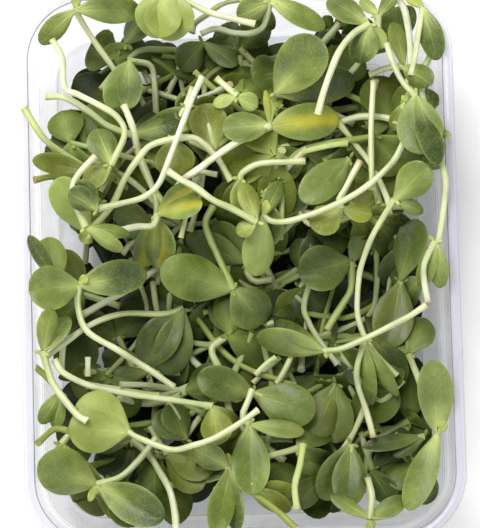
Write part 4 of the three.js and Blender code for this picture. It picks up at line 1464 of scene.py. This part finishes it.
class Sum:
    """A shader value: a socket or a number, on which Python's operators add Math nodes."""

    def __init__(self, shader: "Shader", socket: bpy.types.NodeSocket | float) -> None:
        """Wraps a socket or a number."""
        self.shader = shader
        self.socket = socket

    def math(self, operation: str, *others: "Sum | float") -> "Sum":
        """Adds a Math node.

        Args:
            operation: The node's operation.
            others: The values after this one.

        Returns:
            The node's result.
        """
        values = [self.socket, *(getattr(other, "socket", other) for other in others)]
        node = self.shader.node("ShaderNodeMath", {"operation": operation}, dict(enumerate(values)))
        return Sum(self.shader, node.outputs[0])

    def __add__(self, other: "Sum | float") -> "Sum":
        """Adds a value."""
        return self.math("ADD", other)

    def __sub__(self, other: "Sum | float") -> "Sum":
        """Takes a value away."""
        return self.math("SUBTRACT", other)

    def __rsub__(self, other: float) -> "Sum":
        """Takes this value away from a number."""
        return Sum(self.shader, other).math("SUBTRACT", self)

    def __mul__(self, other: "Sum | float") -> "Sum":
        """Multiplies by a value."""
        return self.math("MULTIPLY", other)

    def __truediv__(self, other: "Sum | float") -> "Sum":
        """Divides by a value."""
        return self.math("DIVIDE", other)

    def __pow__(self, other: float) -> "Sum":
        """Raises to a power."""
        return self.math("POWER", other)

    def __abs__(self) -> "Sum":
        """Drops the sign."""
        return self.math("ABSOLUTE")

    def held(self) -> "Sum":
        """Holds the value between 0 and 1."""
        return self.math("MAXIMUM", 0.0).math("MINIMUM", 1.0)

    def near(self, middle: "Sum | float", reach: "Sum | float") -> "Sum":
        """Makes a mask that is 1 at a middle value and fades to 0 at a reach from it."""
        return (1 - abs(self - middle) / reach).held()

    def until(self, end: float, start: float = 1.0) -> "Sum":
        """Makes a mask that is start where the value is 0, and 1 less where it is end."""
        return (start - self / end).held()

    __radd__ = __add__
    __rmul__ = __mul__


class Shader:
    """A material's node tree."""

    def __init__(self, name: str) -> None:
        """Starts a material with a Principled shader.

        Args:
            name: The material's name.
        """
        self.material = bpy.data.materials.new(name)
        self.material.use_nodes = True
        self.tree = self.material.node_tree
        self.principled = self.tree.nodes["Principled BSDF"]

    def node(self, kind: str, settings: dict, sockets: dict) -> bpy.types.Node:
        """Adds a node.

        Args:
            kind: The node's type.
            settings: The node's own settings.
            sockets: A value or a link for each input.

        Returns:
            The node.
        """
        node = self.tree.nodes.new(kind)
        for key, value in settings.items():
            setattr(node, key, value)
        for key, value in sockets.items():
            self.feed(node.inputs[key], value)
        return node

    def feed(self, target: bpy.types.NodeSocket, value: object) -> None:
        """Links a socket to an input, or sets the input's value."""
        value = getattr(value, "socket", value)
        if isinstance(value, bpy.types.NodeSocket):
            self.tree.links.new(value, target)
        else:
            target.default_value = value

    def attribute(self, name: str) -> bpy.types.Node:
        """Reads one of the mesh's own attributes."""
        return self.node("ShaderNodeAttribute", {"attribute_name": name}, {})

    def place(self) -> bpy.types.NodeSocket:
        """Reads the place on the piece, in metres."""
        return self.node("ShaderNodeTexCoord", {}, {}).outputs["Object"]

    def axes(self, vector: bpy.types.NodeSocket) -> list[Sum]:
        """Splits a vector into its three values."""
        split = self.node("ShaderNodeSeparateXYZ", {}, {"Vector": vector})
        return [Sum(self, split.outputs[axis]) for axis in "XYZ"]

    def noise(self, scale: float, detail: float = 3.0) -> Sum:
        """Gives a noise over the piece.

        Args:
            scale: The noise's cells in a metre.
            detail: The finer layers.

        Returns:
            The noise, about 0.5.
        """
        sockets = {"Vector": self.place(), "Scale": scale, "Detail": detail}
        return Sum(self, self.node("ShaderNodeTexNoise", {}, sockets).outputs["Fac"])

    def mix(
        self, share: Sum | float, low: object, high: object, how: str = "MIX"
    ) -> bpy.types.NodeSocket:
        """Mixes two colours.

        Args:
            share: The share of the second.
            low: The first colour.
            high: The second colour.
            how: The way of mixing.

        Returns:
            The mixed colour's socket.
        """
        settings = {"data_type": "RGBA", "blend_type": how}
        return self.node("ShaderNodeMix", settings, {"Factor": share, 6: low, 7: high}).outputs[2]

    def bump(self, height: Sum, distance: float, strength: float) -> None:
        """Raises the surface by a height.

        Args:
            height: The height, from 0 to 1.
            distance: What 1 stands for, in metres.
            strength: How much of it shows.
        """
        sockets = {"Height": height, "Distance": distance, "Strength": strength}
        node = self.node("ShaderNodeBump", {}, sockets)
        self.feed(self.principled.inputs["Normal"], node.outputs["Normal"])

    def set(self, **values: object) -> None:
        """Feeds the Principled shader: Base_Color stands for Base Color."""
        for key, value in values.items():
            self.feed(self.principled.inputs[key.replace("_", " ")], value)


@dataclass(frozen=True)
class Plant:
    """The finish of stems and seed leaves, with painted shade that darkens them deeper in the heap.
    """

    name: str
    # Painted shade: how far this copy is dimmed, darker for shoots that lie deeper in the heap.
    painted_dim: float
    sheen: float
    roughness: float = 0.46
    painted_shade_from: float = 0.010
    painted_shade_to: float = 0.039
    broad_cells: float = 70.0
    blotch_cells: float = 140.0
    fine_cells: float = 1500.0
    relief: float = 0.0005

    def material(self) -> bpy.types.Material:
        """Makes the finish: a pale base and veins over a mottled skin, with painted shade that
        darkens it deeper in the heap.
        """
        shader = Shader(self.name)
        tint = shader.attribute("tint").outputs["Color"]
        along, side, leaf = shader.axes(shader.attribute("grain").outputs["Vector"])
        blotch = shader.noise(self.blotch_cells)
        fine = shader.noise(self.fine_cells)
        broad = shader.noise(self.broad_cells, 2.0)
        off_rib = abs(side)
        midrib = off_rib.until(0.35) * leaf * along.until(15.0, 1.05)
        fan = off_rib.near(along * 0.24, 0.45) * leaf * along.until(10.0)
        star = off_rib.until(along * 0.3 + 1.2) * leaf * along.until(12.0)
        ribs = ((side * 5.0).math("SINE") * 0.5 + 0.5) * (1 - leaf)
        slant = (along * 0.8 - off_rib * 0.9 + blotch * 5.0).math("SINE")
        veins = abs(slant).until(0.18) * leaf
        pale = (midrib * 0.4 + fan * 0.24 + star * 0.75 + veins * 0.13).held()
        # Painted shade: the lower the skin lies in the heap, the darker it is painted, leaves more
        # than stems, and each copy is dimmed as a whole.
        height = shader.axes(shader.place())[2]
        painted_light_by_height = ((height - self.painted_shade_from) / (self.painted_shade_to - self.painted_shade_from)).held() ** 1.3
        least = 0.5 - leaf * 0.36
        mottle_and_painted_shade = (0.62 + blotch * 0.7 - ribs * 0.1) * (least + painted_light_by_height * (1 - least)) * self.painted_dim
        lively = shader.mix(((broad - 0.45) * 1.1).held(), tint, paint(156, 166, 78))
        mottled = shader.mix(((fine - 0.5) * 0.8).held(), lively, paint(190, 200, 120))
        ribbed = shader.mix(pale, mottled, paint(188, 200, 116))
        shader.set(
            Base_Color=shader.mix(1.0, ribbed, self.grey(shader, mottle_and_painted_shade), "MULTIPLY"),
            Roughness=(self.roughness + (blotch - 0.5) * 0.5).held(),
        )
        shader.principled.inputs["Specular IOR Level"].default_value = self.sheen
        relief = blotch * 1.3 + fine * 0.12 + ribs * 0.12 - midrib * 0.5 - fan * 0.3
        shader.bump(relief, self.relief, 0.7)
        return shader.material

    def grey(self, shader: Shader, value: Sum) -> bpy.types.NodeSocket:
        """Makes a grey of a value, greener where it is dark: the mottling and painted shade that
        the skin is multiplied by.
        """
        shares = {"Red": value**1.1, "Green": value, "Blue": value**1.4}
        node = shader.node("ShaderNodeCombineColor", {}, shares)
        return node.outputs["Color"]


@dataclass(frozen=True)
class ClearSheet:
    """The finish of the clear tray: it shows most where it is seen edge on."""

    form: TrayForm
    name: str = "clear_plastic"
    clearness: float = 0.08
    edge: float = 0.5
    line: float = 0.28
    haze_cells: float = 60.0
    flange_cover: float = 0.34

    def material(self) -> bpy.types.Material:
        """Makes the finish, with a fine line at each bend of the sheet."""
        form, shader = self.form, Shader(self.name)
        weight = shader.node("ShaderNodeLayerWeight", {}, {"Blend": 0.35})
        facing = Sum(shader, weight.outputs["Facing"])
        inset, height, _ = shader.axes(shader.attribute("grain").outputs["Vector"])
        high = (height - (form.height - 2)).held()
        rim = inset.near(form.flange_width, self.line) * high
        edge = inset.near(0.3, 0.35) * high * 0.3
        ledge = height.near(form.ledge_height, self.line) * 0.35
        foot = inset.near(form.foot_inset, self.line) * 0.3
        panel = inset.near(form.panel_inset + 0.6, self.line) * 0.3
        line = (rim + edge + ledge + foot + panel).held()
        flange = high * inset.until(form.flange_width).math("SIGN")
        haze = shader.noise(self.haze_cells, 2.0)
        tint = shader.mix(facing.held(), paint(226, 226, 236), paint(168, 169, 184))
        lined = shader.mix(flange, tint, paint(197, 195, 214))
        cover = facing**3.0 * self.edge + line * 0.7
        cover = cover + flange * self.flange_cover + (haze - 0.5) * 0.06
        shader.set(
            Base_Color=shader.mix(line, lined, paint(70, 70, 84)),
            Alpha=(cover + self.clearness).held(),
            Roughness=(0.1 + (haze - 0.5) * 0.08).held(),
        )
        shader.principled.inputs["Coat Weight"].default_value = 0.6
        shader.bump(haze, 0.0003, 0.2)
        return shader.material


@dataclass
class Tray:
    """The clear tray, with its stepped wall panels and the studs of its floor."""

    form: TrayForm
    side_columns: int = 70
    end_columns: int = 52
    corner_columns: int = 30
    pitch: float = 13.7
    panel_depth: float = 0.75
    panel_foot: float = 4.0
    panel_head_gap: float = 2.0
    panel_taper: float = 3.0
    panel_share: float = 0.34
    panel_edge: float = 0.05
    stud_rise: float = 1.1
    stud_radius: float = 1.7
    pad_reach: tuple[float, float] = (3.6, 3.4)
    pad_edge: float = 0.8

    def route(self) -> list[tuple[Vector, Vector, float]]:
        """Walks round the tray.

        Returns:
            For each column, the place on the line that the corners turn about, the way out, and
            the distance walked along the wall in mm.
        """
        form = self.form
        half_x = form.width / 2 - form.corner_radius
        half_y = form.length / 2 - form.corner_radius
        wall_radius = form.corner_radius - form.floor_inset
        legs = [(half_x, half_y), (-half_x, half_y), (-half_x, -half_y), (half_x, -half_y)]
        stops = []
        walked = 0.0
        for index, (x, y) in enumerate(legs):
            for step in range(self.corner_columns):
                angle = (index + step / self.corner_columns) * math.pi / 2
                reach = walked + wall_radius * math.pi / 2 * step / self.corner_columns
                way = Vector((math.cos(angle), math.sin(angle), 0))
                stops.append((Vector((x, y, 0)), way, reach))
            walked += wall_radius * math.pi / 2
            angle = (index + 1) * math.pi / 2
            way = Vector((math.cos(angle), math.sin(angle), 0))
            start, end = Vector((x, y, 0)), Vector((*legs[(index + 1) % 4], 0))
            columns = self.end_columns if index % 2 == 0 else self.side_columns
            for step in range(columns):
                reach = walked + (end - start).length * step / columns
                stops.append((start.lerp(end, step / columns), way, reach))
            walked += (end - start).length
        pitches = round(walked / self.pitch)
        return [(place, way, reach / walked * pitches) for place, way, reach in stops]

    def profile(self) -> list[tuple[float, float]]:
        """Gives the section from the middle of the underside to the middle of the floor.

        Returns:
            The inset and the height of each point, in mm.
        """
        form = self.form
        skin = form.sheet
        bends = [
            (form.panel_inset + form.panel_rise, form.panel_rise),
            (form.panel_inset, 0.0),
            (form.foot_inset, 0.0),
            (form.floor_inset - skin, form.foot_radius),
            (form.ledge_inset + form.ledge_width - skin, form.ledge_height),
            (form.ledge_inset - skin, form.ledge_height + form.ledge_width),
            (form.flange_width - skin, form.height - skin),
            (skin, form.height - skin),
            (skin, form.height - form.lip_drop),
            (0.0, form.height - form.lip_drop),
            (0.0, form.height - skin),
            (skin, form.height),
            *form.inner_wall()[1:],
        ]
        points = [bends[0]]
        for start, end in zip(bends, bends[1:]):
            reach = math.dist(start, end)
            steps = max(2, min(20, round(reach / 1.3)))
            for step in range(1, steps + 1):
                points.append(blend(start, end, step / steps))
        return self.rounded(points)

    def rounded(self, points: list[tuple[float, float]]) -> list[tuple[float, float]]:
        """Rounds the section's bends off, and keeps its reach.

        Args:
            points: The section's points.

        Returns:
            The rounded section.
        """
        for _ in range(2):
            inner = [
                blend(middle, blend(before, after, 0.5), 0.4)
                for before, middle, after in zip(points, points[1:], points[2:])
            ]
            points = [points[0], *inner, points[-1]]
        top = max(point[1] for point in points)
        edge = min(point[0] for point in points)
        foot = min(point[1] for point in points)
        rim = self.form.height - top
        return [
            (inset - edge if inset < 1 else inset, z + (rim if z > 40 else -foot if z < 1 else 0))
            for inset, z in points
        ]

    def relief(self, inset: float, z: float, reach: float) -> tuple[float, float]:
        """Gives the push outwards of the wall's panels and the rise of the floor's studs.

        Args:
            inset: The point's inset.
            z: The point's height.
            reach: The distance round the wall, in pitches.

        Returns:
            The push and the rise, in mm.
        """
        form = self.form
        across = abs(reach % 1 - 0.5)
        foot, head = self.panel_foot, form.ledge_height - self.panel_head_gap
        if foot < z < head:
            taper = min((z - foot) / self.panel_taper, (head - z) / self.panel_taper, 1)
            edge = held((self.panel_share * (0.7 + 0.3 * taper) - across) / self.panel_edge)
            return self.panel_depth * edge * taper, 0.0
        if form.foot_inset < inset < form.panel_inset and z < 2:
            off = abs(inset - form.foot_inset - form.foot_width / 2)
            stud = math.exp(-(math.hypot(across * self.pitch, off) / self.stud_radius) ** 2)
            away = (0.5 - across) * self.pitch
            gaps = zip(self.pad_reach, (away, off))
            pad = math.prod(held((half - gap) / self.pad_edge) for half, gap in gaps)
            return 0.0, self.stud_rise * max(stud, 0.7 * pad)
        return 0.0, 0.0

    def build(self) -> bpy.types.Object:
        """Models the tray and dresses it."""
        modeller = Modeller("tray_sheet")
        stops = self.route()
        section = self.profile()

        def place(share: float, turn: float) -> tuple[Vector, tuple, tuple]:
            """Places a point of the tray's skin."""
            inset, z = section[round(share * (len(section) - 1))]
            centre, way, reach = stops[round(turn / TURN * len(stops)) % len(stops)]
            push, rise = self.relief(inset, z, reach)
            spot = centre + way * (self.form.corner_radius - inset + push)
            return Vector((spot.x, spot.y, z + rise)), (1.0, 1.0, 1.0), (inset, z, reach)

        modeller.roll(len(section) - 1, len(stops), place)
        piece = modeller.finish(ClearSheet(self.form).material(), math.radians(50))
        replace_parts(piece, "tray")
        return piece


class Studio:
    """The floor, the lights and the camera."""

    PHOTO_SIZE = (480, 528)
    PIXELS_PER_MM = 3.0
    SENSOR = 36.0
    FLOOR_DROP = 0.0004
    LIGHTS = (
        ("key_light", (-0.25, 0.45, 0.68), 0.6, 9.0),
        ("near_light", (-0.4, -0.8, 0.7), 0.8, 4.0),
        ("fill_light", (0.8, -0.45, 0.8), 1.2, 5.0),
    )
    WORLD_STRENGTH = 0.34

    def floor(self) -> None:
        """Lays the pale floor."""
        bm = bmesh.new()
        bmesh.ops.create_grid(bm, x_segments=1, y_segments=1, size=3.0)
        bmesh.ops.translate(bm, vec=(0, 0, -self.FLOOR_DROP), verts=bm.verts)
        mesh = bpy.data.meshes.new("studio_floor")
        bm.to_mesh(mesh)
        bm.free()
        ground = bpy.data.objects.new("studio_floor", mesh)
        bpy.context.scene.collection.objects.link(ground)
        shader = Shader("pale_floor")
        shader.set(Base_Color=(0.96, 0.96, 0.965, 1.0), Roughness=0.9)
        mesh.materials.append(shader.material)

    def light(
        self, name: str, place: tuple[float, float, float], size: float, power: float
    ) -> None:
        """Hangs a soft light that points at the tray.

        Args:
            name: The light's name.
            place: Where it hangs, in metres.
            size: Its width in metres.
            power: Its power in watts.
        """
        lamp = bpy.data.lights.new(name, "AREA")
        lamp.size = size
        lamp.energy = power
        holder = bpy.data.objects.new(name, lamp)
        holder.location = place
        holder.rotation_euler = (-Vector(place)).to_track_quat("-Z", "Y").to_euler()
        bpy.context.scene.collection.objects.link(holder)

    def camera(self) -> None:
        """Sets the camera over the tray, as the photograph was taken."""
        lens = bpy.data.cameras.new("camera")
        lens.sensor_fit = "HORIZONTAL"
        lens.sensor_width = self.SENSOR
        distance = Heap.CAMERA_DISTANCE * MM
        lens.lens = self.SENSOR * distance / (self.PHOTO_SIZE[0] / self.PIXELS_PER_MM * MM)
        holder = bpy.data.objects.new("camera", lens)
        target = Vector((0, 0, TrayForm().height * MM))
        tilt = Heap.CAMERA_TILT
        holder.location = target + Vector((0, -math.sin(tilt), math.cos(tilt))) * distance
        aim = (target - holder.location).to_track_quat("-Z", "Y")
        holder.rotation_euler = aim.to_euler()
        holder.rotation_euler.rotate_axis("Z", Heap.PHOTO_TURN)
        bpy.context.scene.collection.objects.link(holder)
        bpy.context.scene.camera = holder

    def build(self) -> None:
        """Sets everything up."""
        self.floor()
        for lamp in self.LIGHTS:
            self.light(*lamp)
        world = bpy.data.worlds.new("studio")
        world.use_nodes = True
        back = world.node_tree.nodes["Background"]
        back.inputs["Color"].default_value = (1.0, 1.0, 1.0, 1.0)
        back.inputs["Strength"].default_value = self.WORLD_STRENGTH
        bpy.context.scene.world = world
        bpy.context.scene.view_settings.view_transform = "Standard"
        self.camera()


def dress(
    name: str, shoots: list[Shoot], finish: bpy.types.Material, looks: Draws
) -> bpy.types.Object:
    """Models some shoots as one piece.

    Args:
        name: The piece's name.
        shoots: The shoots.
        finish: Their material.
        looks: The stream that their small differences are drawn from.

    Returns:
        The piece.
    """
    modeller = Modeller(name)
    form = TrayForm()
    for shoot in shoots:
        shoot.skin(modeller, looks)
    for vert in modeller.bm.verts:
        vert.co = form.press_in(vert.co / MM) * MM
    piece = modeller.finish(finish, math.radians(60))
    return piece


def main() -> None:
    """Builds the tray, its heap of shoots and the studio."""
    logging.basicConfig(level=logging.INFO, format="%(name)s: %(message)s")
    Studio().build()
    form = TrayForm()
    Tray(form).build()
    heap = Heap(form)
    looks = Draws(5)
    # Painted shade: lit and shaded copies of the plant skin, dimmer and with less sheen the deeper
    # their shoots lie.
    painted_lit_skin = Plant("shoot_skin", 0.95, 0.42).material()
    painted_dim = Plant("lower_shoot_skin_painted_dim", 0.87, 0.3).material()
    painted_shade_skin = Plant("deep_shoot_skin_painted_shade", 0.7, 0.14).material()
    for index, clump in enumerate(heap.clumps, 1):
        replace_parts(dress(f"clump_{index}_shoots", clump, painted_shade_skin, looks), f"clump_{index}")
    number = 0
    for shoots in heap.shoots.values():
        for shoot in shoots:
            number += 1
            piece = dress(f"shoot_{number:02d}_plant", [shoot], painted_lit_skin, looks)
            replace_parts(piece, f"shoot_{number:02d}")
    dress("filling_shoots", heap.fill, painted_shade_skin, looks)
    for level, shoots in heap.undergrowth.items():
        # Painted shade: the lower undergrowth takes the dimmer copy.
        dress(f"undergrowth_{level}", shoots, painted_lit_skin if level > 3 else painted_dim, looks)
    dress("floor_leaves", heap.litter(), painted_shade_skin, looks)


if __name__ == "__main__":
    main()
